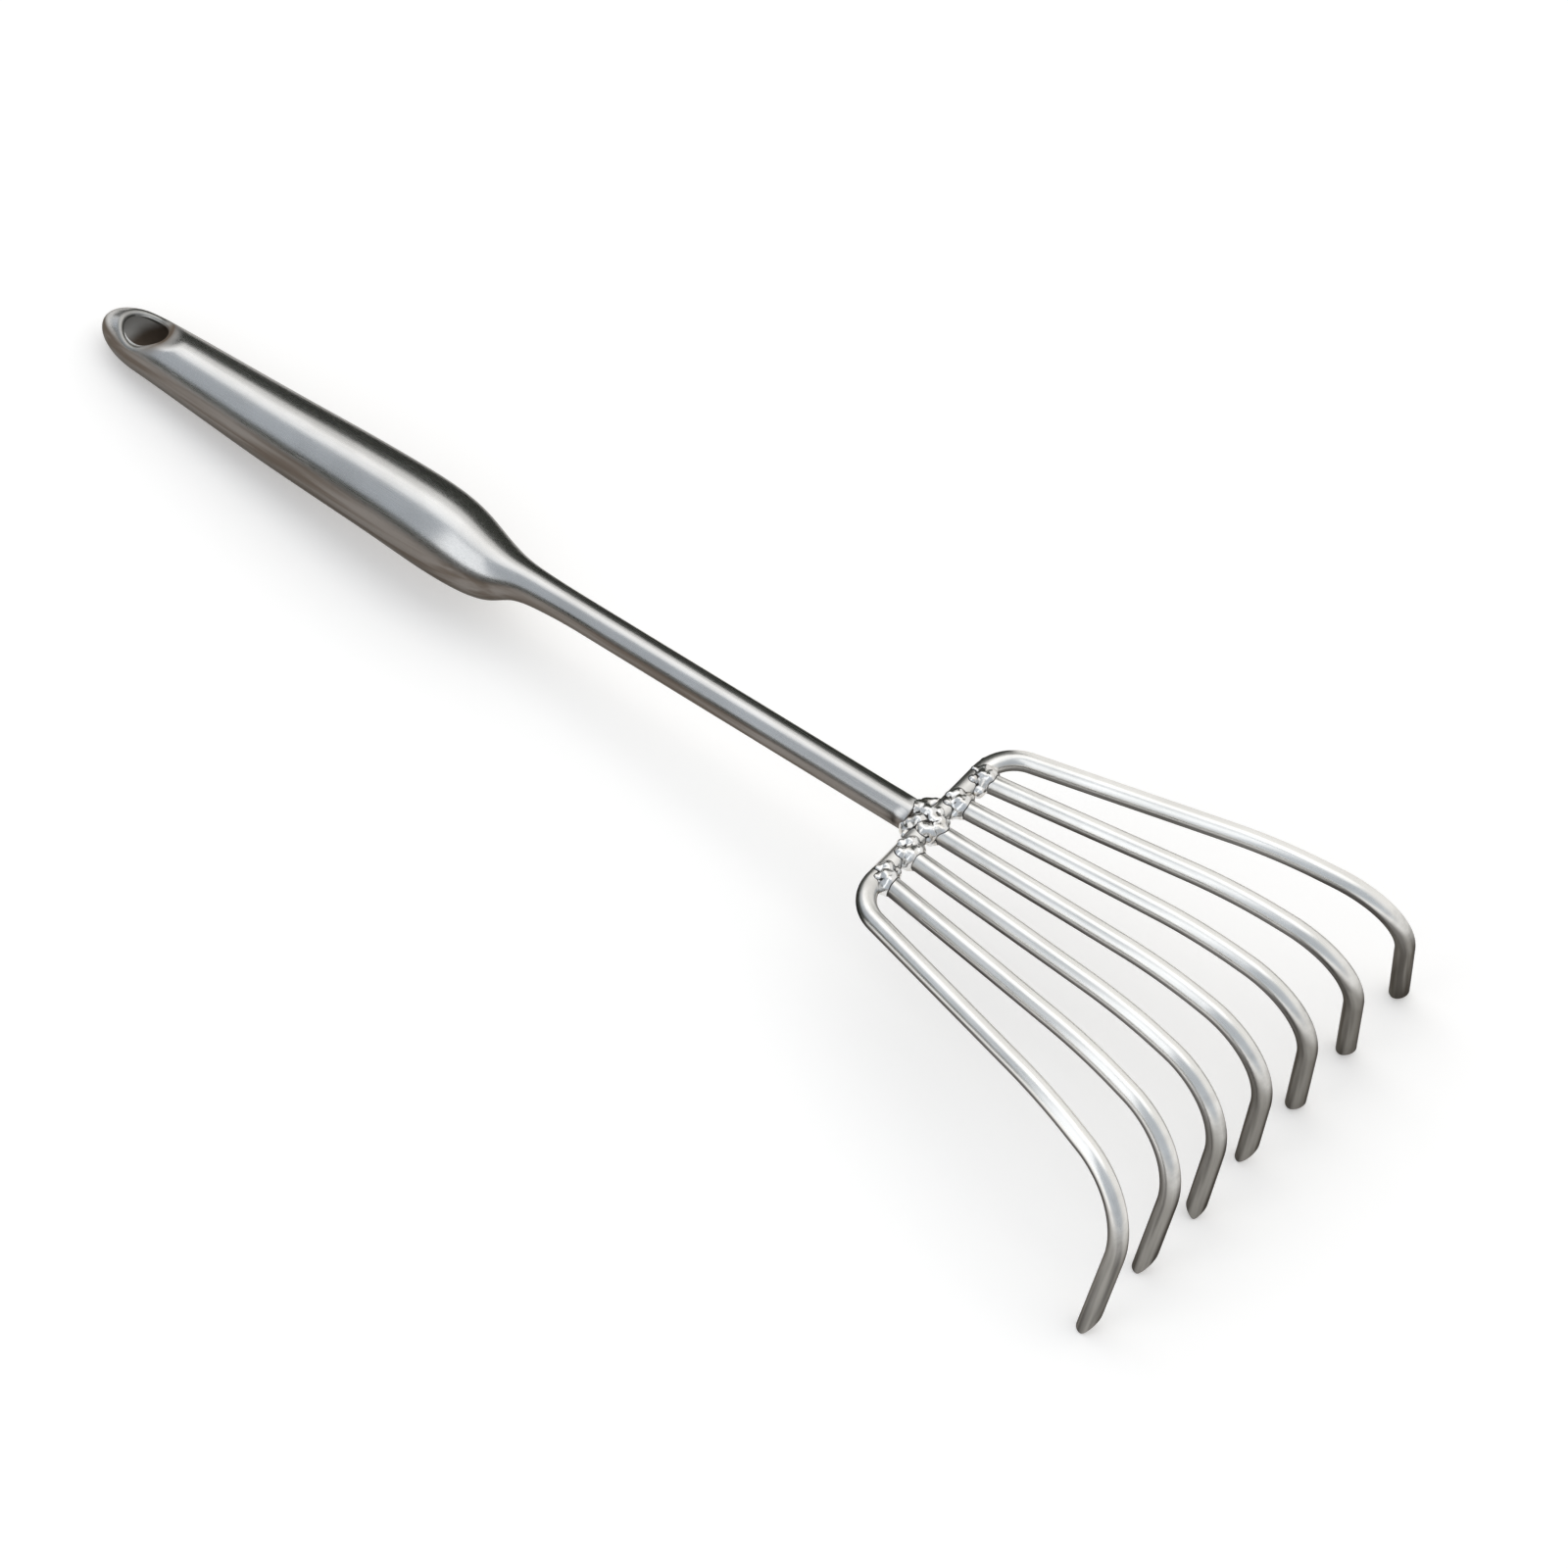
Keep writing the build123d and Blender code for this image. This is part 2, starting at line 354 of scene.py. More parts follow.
@dataclass(frozen=True)
class SteelFinish:
    """Satin stainless steel, polished lengthwise, with painted shade and a painted reflection of brown
    ground on its underside.

    A hollow piece is raw inside, with painted shade in its hollow, and worn around its eye, and a piece
    whose painted leg reflection cover isn't zero gets a painted reflection of dark ground low down. The edge
    colours show at grazing angles.
    The painted underside's top and bottom say how far the skin faces upward there. Depths, the heights of
    the painted leg reflection and the distances of the painted hollow shade are in metres.
    """

    name: str
    hollow: bool = False
    colour: tuple = (0.640, 0.632, 0.620)
    shade: tuple = (0.560, 0.550, 0.535)
    cloud_range: tuple = (0.3, 0.7)
    edge: tuple = (0.520, 0.510, 0.495)
    roughness: float = 0.23
    streak_rough: float = 0.08
    streak_range: tuple = (0.25, 0.75)
    scratch_cover: float = 0.46
    scratch_rough: float = 0.12
    scratch_depth: float = 0.00044 * MM
    streak_depth: float = 0.0011 * MM
    wave_depth: float = 0.035 * MM
    # Painted shade and a painted reflection of brown ground where the skin faces down, with a darker painted
    # grazing colour
    painted_underside: tuple = (0.096, 0.072, 0.053)
    painted_underside_edge: Optional[tuple] = None
    painted_underside_top: float = 0.66
    painted_underside_bottom: float = 0.40
    painted_underside_cover: float = 0.93
    painted_underside_bands: float = 0.18
    painted_underside_range: tuple = (0.35, 0.65)
    # A painted reflection of dark ground on the legs, darker towards the bottom, with lighter painted
    # streaks
    painted_leg_reflection: tuple = (0.140, 0.132, 0.122)
    painted_leg_streak: tuple = (0.350, 0.336, 0.310)
    painted_leg_streak_range: tuple = (0.40, 0.66)
    painted_dark_rough: float = 0.05
    painted_leg_reflection_top: float = 0.051
    painted_leg_reflection_bottom: float = 0.032
    painted_leg_reflection_cover: float = 0.0
    rim: tuple = (0.390, 0.382, 0.362)
    rim_rough: float = 0.14
    raw: tuple = (0.800, 0.785, 0.750)
    raw_rough: float = 0.34
    raw_matt: float = 0.65
    # Painted shade in the hollow and on the eye's front lip, darker towards the shaft and the bottom
    painted_hollow_shade: tuple = (0.150, 0.112, 0.082)
    painted_hollow_shade_start: float = -0.2825
    painted_hollow_shade_end: float = -0.2755
    painted_hollow_shade_sink: float = 1.1
    painted_hollow_shade_ragged: float = 0.008

    def material(self, groups: SurfaceGroups) -> Material:
        """Builds the steel.

        Args:
            groups: The shared shader effects.

        Returns:
            The material, which reads the attributes run, ring and upward, and inside and worn if hollow.
        """
        made, wiring = blank_material(self.name)
        run = wiring.attribute("run")
        across = wiring.node("ShaderNodeSeparateXYZ", {0: wiring.attribute("ring", "Vector")}).outputs
        straight = wiring.out("ShaderNodeCombineXYZ", {0: run, 1: across[0], 2: across[1]})
        drawn = wiring.group(groups.drawn, {"Vector": straight})
        scratched = wiring.group(groups.scratched, {"Vector": straight, "Cover": self.scratch_cover})
        scratches = scratched["Mask"]
        upward = wiring.attribute("upward")
        # Painted shade and a painted reflection of brown ground on the downward-facing skin, broken into
        # bands
        under = wiring.ramp(upward, self.painted_underside_top, self.painted_underside_bottom, 0.0, self.painted_underside_cover)
        bands = wiring.ramp(drawn["Bands"], *self.painted_underside_range, 1.0 - self.painted_underside_bands, 1.0)
        painted_dark = wiring.times(under, bands)
        tone = wiring.mix(wiring.ramp(drawn["Clouds"], *self.cloud_range), self.shade, self.colour)
        tone = wiring.mix(painted_dark, tone, self.painted_underside)
        if self.painted_leg_reflection_cover:
            # Painted reflection of dark ground low on the legs, with lighter painted streaks
            painted_leg_reflection = self.painted_leg_reflection_mask(wiring, groups)
            painted_dark = wiring.math("MAXIMUM", painted_leg_reflection, painted_dark)
            painted_leg_streak = wiring.ramp(drawn["Bands"], *self.painted_leg_streak_range)
            tone = wiring.mix(painted_leg_reflection, tone, wiring.mix(painted_leg_streak, self.painted_leg_reflection, self.painted_leg_streak))
        smooth, streaked = self.roughness, self.roughness + self.streak_rough
        rough = wiring.ramp(drawn["Streaks"], *self.streak_range, smooth, streaked)
        rough = wiring.add(rough, wiring.times(painted_dark, self.painted_dark_rough))
        rough = wiring.add(rough, wiring.times(scratches, self.scratch_rough))
        metal = 1.0
        if self.hollow:
            inside = wiring.attribute("inside")
            worn = wiring.attribute("worn")
            # Painted shade over the raw inside and the eye's front lip, towards the shaft and the bottom
            hollow_shaded = self.painted_hollow_shade_mask(wiring, run, across[1], drawn["Clouds"])
            tone = wiring.mix(worn, tone, self.rim)
            tone = wiring.mix(inside, tone, wiring.mix(hollow_shaded, self.raw, self.painted_hollow_shade))
            rough = wiring.add(rough, wiring.times(inside, self.raw_rough))
            rough = wiring.add(rough, wiring.times(worn, self.rim_rough))
            metal = wiring.math("SUBTRACT", 1.0, wiring.times(inside, self.raw_matt))
        grazing = (*self.edge, 1)
        # A darker painted grazing colour on the underside, part of its painted shade
        if self.painted_underside_edge:
            grazing = wiring.mix(under, self.edge, self.painted_underside_edge)
        height = wiring.times(drawn["Waves"], self.wave_depth)
        height = wiring.add(height, wiring.times(drawn["Streaks"], self.streak_depth))
        height = wiring.add(height, wiring.times(scratches, -self.scratch_depth))
        shader = {"Base Color": tone, "Roughness": rough, "Metallic": metal, "Specular Tint": grazing}
        end_metal(wiring, height, shader)
        return made

    def painted_leg_reflection_mask(self, wiring: Wiring, groups: SurfaceGroups) -> NodeSocket:
        """Finds where the lower part gets a painted reflection of dark ground, darker towards the bottom.

        Args:
            wiring: The material's wiring.
            groups: The shared shader effects.

        Returns:
            The painted reflection's cover.
        """
        place = wiring.out("ShaderNodeTexCoord", socket="Object")
        levels = {"Vector": place, "Top": self.painted_leg_reflection_top, "Bottom": self.painted_leg_reflection_bottom}
        return wiring.times(wiring.group(groups.low_cover, levels)["Mask"], self.painted_leg_reflection_cover)

    def painted_hollow_shade_mask(self, wiring: Wiring, run: NodeSocket, up: NodeSocket, clouds: NodeSocket) -> NodeSocket:
        """Finds where painted shade darkens the raw inside, towards the shaft and the bottom.

        Args:
            wiring: The material's wiring.
            run: Distance along the piece.
            up: Height above its middle line.
            clouds: Noise that breaks the painted shade's edge.

        Returns:
            The painted shade's cover.
        """
        far = wiring.add(run, wiring.times(clouds, self.painted_hollow_shade_ragged))
        far = wiring.math("SUBTRACT", far, wiring.times(up, self.painted_hollow_shade_sink))
        return wiring.ramp(far, self.painted_hollow_shade_start, self.painted_hollow_shade_end)


@dataclass(frozen=True)
class WeldFinish:
    """Bright weld metal with dark scale and painted shade in its hollows and along its seams, and straw
    colour lower down.
    """

    name: str = "Weld steel"
    colour: tuple = (0.800, 0.793, 0.780)
    # Dark weld scale together with painted shade in the hollows and along the seams
    scale: tuple = (0.050, 0.046, 0.042)
    straw: tuple = (0.560, 0.500, 0.420)
    roughness: float = 0.25
    scale_and_shade_rough: float = 0.26
    scale_and_shade_range: tuple = (0.30, 0.85)
    broken_scale: float = 900.0
    broken_share: float = 0.5
    straw_top: float = 0.060
    straw_bottom: float = 0.030
    straw_scale: float = 420.0
    straw_range: tuple = (0.4, 0.7)
    grain_scale: float = 2600.0
    grain_depth: float = 0.02 * MM

    def material(self, groups: SurfaceGroups) -> Material:
        """Builds the weld metal.

        Args:
            groups: The shared shader effects.

        Returns:
            The material, which reads the bead's hollow attribute.
        """
        made, wiring = blank_material(self.name)
        place = wiring.out("ShaderNodeTexCoord", socket="Object")
        # Dark weld scale and painted shade where the bead lies below its evened skin and along its seams
        broken = wiring.noise(place, self.broken_scale, detail=3.0, rough=0.6)
        broken = wiring.math("SUBTRACT", broken, 0.5)
        depth = wiring.add(wiring.attribute("hollow"), wiring.times(broken, self.broken_share))
        dark = wiring.ramp(depth, *self.scale_and_shade_range)
        levels = {"Vector": place, "Top": self.straw_top, "Bottom": self.straw_bottom}
        low = wiring.group(groups.low_cover, levels)["Mask"]
        patches = wiring.ramp(wiring.noise(place, self.straw_scale), *self.straw_range)
        tone = wiring.mix(wiring.times(low, patches), self.colour, self.straw)
        tone = wiring.mix(dark, tone, self.scale)
        rough = wiring.ramp(dark, 0.0, 1.0, self.roughness, self.roughness + self.scale_and_shade_rough)
        grain = wiring.times(wiring.noise(place, self.grain_scale, detail=3.0), self.grain_depth)
        end_metal(wiring, grain, {"Base Color": tone, "Roughness": rough, "Metallic": 1.0})
        return made


def link_object(name: str, data: Any) -> Object:
    """Puts a mesh, a lamp or a camera into the scene.

    Args:
        name: The object's name.
        data: What the object shows.

    Returns:
        The object.
    """
    made = bpy.data.objects.new(name, data)
    bpy.context.scene.collection.objects.link(made)
    return made


def store(mesh: Mesh, name: str, values: np.ndarray) -> None:
    """Keeps a number or a vector for every point of a mesh.

    Args:
        mesh: The mesh.
        name: The attribute's name.
        values: The numbers, or the vectors, one in each row.
    """
    kind, key = ("FLOAT_VECTOR", "vector") if values.ndim == 2 else ("FLOAT", "value")
    mesh.attributes.new(name, kind, "POINT").data.foreach_set(key, values.astype(np.float32).ravel())


def fetch(data: Any, key: str, width: int) -> np.ndarray:
    """Reads the points or an attribute of a mesh.

    Args:
        data: The mesh's points, or an attribute's data.
        key: The property that is read.
        width: Count of numbers for every point.

    Returns:
        All numbers in one row.
    """
    values = np.empty(len(data) * width)
    data.foreach_get(key, values)
    return values


def skin_object(
    name: str, rows: np.ndarray, run: np.ndarray, ring: np.ndarray, poles: Optional[np.ndarray]
) -> Object:
    """Makes a smooth skin from rings of points.

    Args:
        name: The object's name.
        rows: Rings of points in metres, in order along the piece.
        run: Distance along the piece of every point.
        ring: Place of every point across the piece, as vectors.
        poles: Points that close the first and the last ring, or None where the last ring meets the first.

    Returns:
        The object, with run, ring and how far its skin faces upward as point attributes.
    """
    count, around = rows.shape[:2]
    index = np.arange(count * around).reshape(count, around)
    if poles is None:
        index = np.vstack([index, index[:1]])
    beside = np.roll(index, -1, axis=1)
    faces = np.stack([index[:-1], beside[:-1], beside[1:], index[1:]], axis=-1).reshape(-1, 4).tolist()
    points, runs, rings = rows.reshape(-1, 3), run.reshape(-1), ring.reshape(-1, 3)
    if poles is not None:
        first, last = len(points), len(points) + 1
        faces += [[first, b, a] for a, b in zip(index[0], beside[0])]
        faces += [[last, a, b] for a, b in zip(index[-1], beside[-1])]
        points = np.vstack([points, poles])
        runs = np.concatenate([runs, [run[0].mean(), run[-1].mean()]])
        rings = np.vstack([rings, np.zeros((2, 3))])
    mesh = bpy.data.meshes.new(name)
    mesh.from_pydata(points.tolist(), [], faces)
    work = bmesh.new()
    work.from_mesh(mesh)
    bmesh.ops.recalc_face_normals(work, faces=work.faces[:])
    work.to_mesh(mesh)
    work.free()
    store(mesh, "upward", fetch(mesh.vertices, "normal", 3)[2::3])
    store(mesh, "run", runs)
    store(mesh, "ring", rings)
    mesh.polygons.foreach_set("use_smooth", np.ones(len(mesh.polygons), dtype=bool))
    return link_object(name, mesh)


def grow(name: str, base: Mesh, tree: NodeTree, values: dict) -> Mesh:
    """Runs a Geometry Nodes tree on a mesh.

    Args:
        name: The name of the mesh that comes out.
        base: The mesh that goes in.
        tree: The tree.
        values: The tree's inputs, by name.

    Returns:
        The plain mesh that the tree makes.
    """
    holder = link_object(name, base)
    modifier = holder.modifiers.new(tree.name, "NODES")
    modifier.node_group = tree
    for item in tree.interface.items_tree:
        if item.in_out == "INPUT" and item.name in values:
            modifier[item.identifier] = values[item.name]
    shown = holder.evaluated_get(bpy.context.evaluated_depsgraph_get())
    mesh = bpy.data.meshes.new_from_object(shown)
    mesh.name = name
    bpy.data.objects.remove(holder)
    return mesh


def fit(piece: Object, node: str, material: Material) -> None:
    """Gives a piece its finish and puts it in the place of a CAD node.

    Args:
        piece: The finished piece.
        node: The CAD node that it stands for.
        material: The finish.
    """
    piece.data.materials.clear()
    piece.data.materials.append(material)
    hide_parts(node)
    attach(piece, "root")
    LOG.info("%s stands for %s, %d faces", piece.name, node, len(piece.data.polygons))


@dataclass
class RodBender:
    """Bends round rods along polylines with rounded corners, with sizes in millimetres."""

    radius: float = 2.87
    around: int = 40
    spacing: float = 0.8
    arc_points: int = 40
    edge_rings: int = 6
    flat_rings: int = 5
    cut_ease: float = 0.35
    tree: NodeTree = field(init=False)

    def __post_init__(self) -> None:
        """Builds the tree once."""
        self.tree = self.rod_tree()

    @staticmethod
    def rod_tree() -> NodeTree:
        """Builds Geometry Nodes that round a polyline's corners and sweep a circle along it.

        Returns:
            The tree.
        """
        tree, wiring, given, result = new_shape_tree(
            "Bent rod",
            {
                "Rod Radius": "NodeSocketFloat",
                "Around": "NodeSocketInt",
                "Spacing": "NodeSocketFloat",
                "Arc Points": "NodeSocketInt",
            },
        )
        bend = wiring.out("GeometryNodeInputNamedAttribute", {"Name": "bend"}, data_type="FLOAT")
        line = wiring.out("GeometryNodeMeshToCurve", {"Mesh": given["Geometry"]})
        corner = {"Curve": line, "Count": given["Arc Points"], "Radius": bend, "Limit Radius": True}
        line = wiring.out("GeometryNodeFilletCurve", corner, mode="POLY")
        even = {"Curve": line, "Length": given["Spacing"]}
        line = wiring.out("GeometryNodeResampleCurve", even, mode="LENGTH")
        length = wiring.out("GeometryNodeSplineParameter", socket="Length")
        line = wiring.keep(line, "run", length, "FLOAT")
        circle = {"Resolution": given["Around"], "Radius": given["Rod Radius"]}
        circle = wiring.out("GeometryNodeCurvePrimitiveCircle", circle, mode="RADIUS")
        circle = wiring.keep(circle, "ring", wiring.out("GeometryNodeInputPosition"), "FLOAT_VECTOR")
        swept = {"Curve": line, "Profile Curve": circle, "Fill Caps": False}
        end_shape_tree(wiring, wiring.out("GeometryNodeCurveToMesh", swept), given, result)
        return tree

    def end_rows(self, ring: np.ndarray, before: np.ndarray, planes: list, rounding: float) -> tuple:
        """Rings that close one end of a rod, cut off by planes and rounded at the edge.

        Args:
            ring: The rod's last ring of points, in metres.
            before: The middle of the ring before it.
            planes: The planes that cut the end, each a point and an outward normal in metres.
            rounding: Radius of the rounded edge, in millimetres.

        Returns:
            The rings from the outside in, the point in the middle, each ring's share of the radius
            and how far each point lies beyond the last ring.
        """
        middle = ring.mean(axis=0)
        axis = (middle - before) / np.linalg.norm(middle - before)
        spokes = ring - middle
        radius, edge, ease = self.radius * MM, rounding * MM, self.cut_ease * MM
        steps = np.radians(np.linspace(90, 0, self.edge_rings))
        round_shares = (radius - edge + edge * np.sin(steps)) / radius
        flat_shares = (1 - edge / radius) * np.arange(self.flat_rings, 0, -1) / (self.flat_rings + 1)
        shares = np.concatenate([round_shares, flat_shares])
        drops = np.concatenate([edge * (1 - np.cos(steps)), np.zeros(self.flat_rings)])

        def reach(point: np.ndarray) -> np.ndarray:
            """Measures along the axis to the nearest cutting plane, eased where planes meet.

            Args:
                point: One point or many.

            Returns:
                The distances.
            """
            far = np.array([((spot - point) @ normal) / (axis @ normal) for spot, normal in planes])
            near = far.min(axis=0)
            return near - ease * np.log(np.exp(-(far - near) / ease).sum(axis=0))

        starts = middle + shares[:, None, None] * spokes
        beyond = reach(starts) - drops[:, None]
        rows = starts + beyond[..., None] * axis
        return rows, middle + axis * reach(middle), shares, beyond

    def rod(self, name: str, corners: np.ndarray, bends: list, ends: list, finish: Material) -> Object:
        """Bends one rod and closes its ends.

        Args:
            name: The piece's name.
            corners: The corners of its line in the tool's plane, in millimetres.
            bends: Bend radius at every corner, zero at both ends.
            ends: The cutting planes and the edge rounding at its start and at its end.
            finish: The rod's material.

        Returns:
            The finished rod.
        """
        base = bpy.data.meshes.new(name + "_line")
        base.from_pydata(TOOL.place(corners).tolist(), [(i, i + 1) for i in range(len(corners) - 1)], [])
        store(base, "bend", np.array(bends) * MM)
        values = {
            "Rod Radius": self.radius * MM,
            "Around": self.around,
            "Spacing": self.spacing * MM,
            "Arc Points": self.arc_points,
            "Finish": finish,
        }
        mesh = grow(name + "_swept", base, self.tree, values)
        rows = fetch(mesh.vertices, "co", 3).reshape(-1, self.around, 3)
        run = fetch(mesh.attributes["run"].data, "value", 1).reshape(-1, self.around)
        ring = fetch(mesh.attributes["ring"].data, "vector", 3).reshape(-1, self.around, 3)
        bpy.data.meshes.remove(mesh)
        head, first, head_share, head_far = self.end_rows(rows[0], rows[1].mean(axis=0), *ends[0])
        tail, last, tail_share, tail_far = self.end_rows(rows[-1], rows[-2].mean(axis=0), *ends[1])
        rows = np.concatenate([head[::-1], rows[1:-1], tail])
        run = np.concatenate([(run[0] - head_far)[::-1], run[1:-1], run[-1] + tail_far])
        head_ring = head_share[:, None, None] * ring[0]
        tail_ring = tail_share[:, None, None] * ring[-1]
        ring = np.concatenate([head_ring[::-1], ring[1:-1], tail_ring])
        return skin_object(name, rows, run, ring, np.stack([first, last]))


@dataclass(frozen=True)
class Tine:
    """One tine: its place to the left on the crossbar in millimetres, its fan and splay in degrees."""

    name: str
    root: float
    fan: float
    splay: float

    def left(self, reach: float, drop: float = 0.0) -> float:
        """Place to the left at this distance past the crossbar and down the leg."""
        return self.root + tan(radians(self.fan)) * reach + tan(radians(self.splay)) * drop


@dataclass
class TineHead:
    """Head of the rake: one bent rod with the crossbar and both outer tines, and five tines between them.

    Lengths are in millimetres and fans and splays in degrees. A tip's cuts are bevels: the land that each
    leaves on the ground, its angle, and its turn from straight ahead, in degrees.
    """

    centre: Tine = Tine("centre", 0.0, 0.0, 0.0)
    rod_radius: float = 2.9
    root_pitch: float = 10.8
    inner_fan: float = 4.2
    middle_fan: float = 8.5
    outer_fan: float = 14.2
    outer_splay: float = 10.7
    corner_radius: float = 11.5
    tine_gap: float = 1.5
    set_reach: float = 78.5
    set_angle: float = radians(13.4)
    set_radius: float = 110.0
    knee_reach: float = 38.5
    knee_radius: float = 25.0
    leg_length: float = 50.4
    leg_clear: float = 11.0
    front: float = 204.3387
    tip_rounding: float = 0.62
    root_rounding: float = 0.35
    tip_cuts: dict = field(
        default_factory=lambda: {
            "left_outer": ((2.9, 56.0, 0.0),),
            "left_middle": ((2.8, 56.0, -10.0),),
            "left_inner": ((2.6, 54.0, 0.0),),
            "centre": ((0.9, 32.0, 36.0),),
            "right_inner": ((2.8, 34.0, 38.0), (3.5, 36.0, 218.0)),
            "right_middle": ((1.6, 33.0, 36.0),),
            "right_outer": ((1.8, 36.0, 34.0),),
        }
    )

    def side_tine(self, side: Side, place: str, steps: int, fan: float, splay: float) -> Tine:
        """A tine so many steps of the pitch to one side, fanning out to that side."""
        turn = side.value
        return Tine(side.name.lower() + place, turn * steps * self.root_pitch, turn * fan, turn * splay)

    def outer_tines(self) -> list:
        """The two outer tines, the left one first."""
        return [self.side_tine(side, "_outer", 3, self.outer_fan, self.outer_splay) for side in Side]

    def welded_tines(self) -> list:
        """Lists the tines that are welded on beside the centre, the left ones first.

        Returns:
            The tines.
        """
        tines = []
        for side in Side:
            tines.append(self.side_tine(side, "_inner", 1, self.inner_fan, self.inner_fan))
            tines.append(self.side_tine(side, "_middle", 2, self.middle_fan, self.middle_fan))
        return tines

    def line(self, tine: Tine, start: float) -> np.ndarray:
        """Corners of one tine's line, ending a little above the ground.

        Args:
            tine: The tine.
            start: Distance past the crossbar at which it starts.

        Returns:
            The start, the set, the knee and the leg's end, in the tool's plane.
        """
        reach = self.set_reach + self.knee_reach
        leg = self.leg_length - self.leg_clear
        knee_x = self.set_reach + self.knee_reach * cos(self.set_angle)
        knee_z = -self.knee_reach * sin(self.set_angle)
        return np.array(
            [
                (start, tine.left(start), 0.0),
                (self.set_reach, tine.left(self.set_reach), 0.0),
                (knee_x, tine.left(reach), knee_z),
                (knee_x - leg * sin(TOOL.tilt), tine.left(reach, leg), knee_z - leg * cos(TOOL.tilt)),
            ]
        )

    def tip(self, tine: Tine) -> tuple:
        """Planes that cut a tip.

        Args:
            tine: The tine.

        Returns:
            The ground and the bevels as planes, and the rounding of their edges.
        """
        left = tine.left(self.set_reach + self.knee_reach, self.leg_length)
        planes = [(np.zeros(3), np.array([0.0, 0.0, -1.0]))]
        for land, angle, turn in self.tip_cuts[tine.name]:
            ahead = np.array([cos(radians(turn)), sin(radians(turn)), 0.0])
            spot = np.array([self.front - self.rod_radius, left, 0.0]) + (land - self.rod_radius) * ahead
            slope = radians(angle)
            planes.append((spot * MM, cos(slope) * ahead - np.array([0.0, 0.0, sin(slope)])))
        return planes, self.tip_rounding

    def build(self, bender: RodBender, finish: Material) -> None:
        """Builds all rods and fits them.

        Args:
            bender: Makes the rods.
            finish: Their steel.
        """
        bends = [self.set_radius, self.knee_radius, 0.0]
        left, right = (self.line(tine, 0.0) for tine in self.outer_tines())
        tips = [self.tip(tine) for tine in self.outer_tines()]
        corners = np.vstack([left[::-1], right])
        around = [*reversed(bends), self.corner_radius, self.corner_radius, *bends]
        piece = bender.rod("polished_tine_frame", corners, around, tips, finish)
        fit(piece, "outer_tine_frame", finish)
        start = self.rod_radius + self.tine_gap
        for tine in (self.centre, *self.welded_tines()):
            corners = self.line(tine, start)
            first, second = TOOL.place(corners[:2])
            cut = ([(first, (first - second) / np.linalg.norm(first - second))], self.root_rounding)
            ends = [cut, self.tip(tine)]
            piece = bender.rod("polished_tine_" + tine.name, corners, [0.0, *bends], ends, finish)
            fit(piece, "tine_" + tine.name, finish)


@dataclass
class TubeSkin:
    """One skin of the handle tube, as a table along it: distance, station, centre height and radius."""

    table: np.ndarray

    def column(self, distance: np.ndarray, index: int) -> np.ndarray:
        """One of the table's columns at these distances along the outline."""
        return np.interp(distance, self.table[:, 0], self.table[:, index])

    def distance(self, station: np.ndarray) -> np.ndarray:
        """Distance along the outline at these stations."""
        return np.interp(station, self.table[:, 1], self.table[:, 0])

    def place(self, distance: np.ndarray, turn: np.ndarray) -> np.ndarray:
        """Places points on the skin.

        Args:
            distance: Their distances along the outline.
            turn: Their angles around the tube.

        Returns:
            The points.
        """
        radius = self.column(distance, 3)
        up = self.column(distance, 2) + radius * np.sin(turn)
        return np.stack([self.column(distance, 1), radius * np.cos(turn), up], axis=-1)

    def top(self, station: np.ndarray, left: np.ndarray) -> np.ndarray:
        """Measures the skin's upper side.

        Args:
            station: Places along the tube.
            left: Places to the left.

        Returns:
            The heights there.
        """
        distance = self.distance(station)
        radius = self.column(distance, 3)
        return self.column(distance, 2) + np.sqrt(np.maximum(radius**2 - left**2, 0.0))

    def chart(self, points: np.ndarray) -> np.ndarray:
        """Lays points of the skin on a flat chart with the nose's tip in the middle.

        Args:
            points: The points.

        Returns:
            Their places on the chart.
        """
        distance = self.distance(points[..., 0])
        turn = np.arctan2(points[..., 2] - self.column(distance, 2), points[..., 1])
        return distance[..., None] * np.stack([np.cos(turn), np.sin(turn)], axis=-1)

    def from_chart(self, flat: np.ndarray) -> np.ndarray:
        """Points of the chart put back on the skin."""
        return self.place(np.hypot(flat[..., 0], flat[..., 1]), np.arctan2(flat[..., 1], flat[..., 0]))


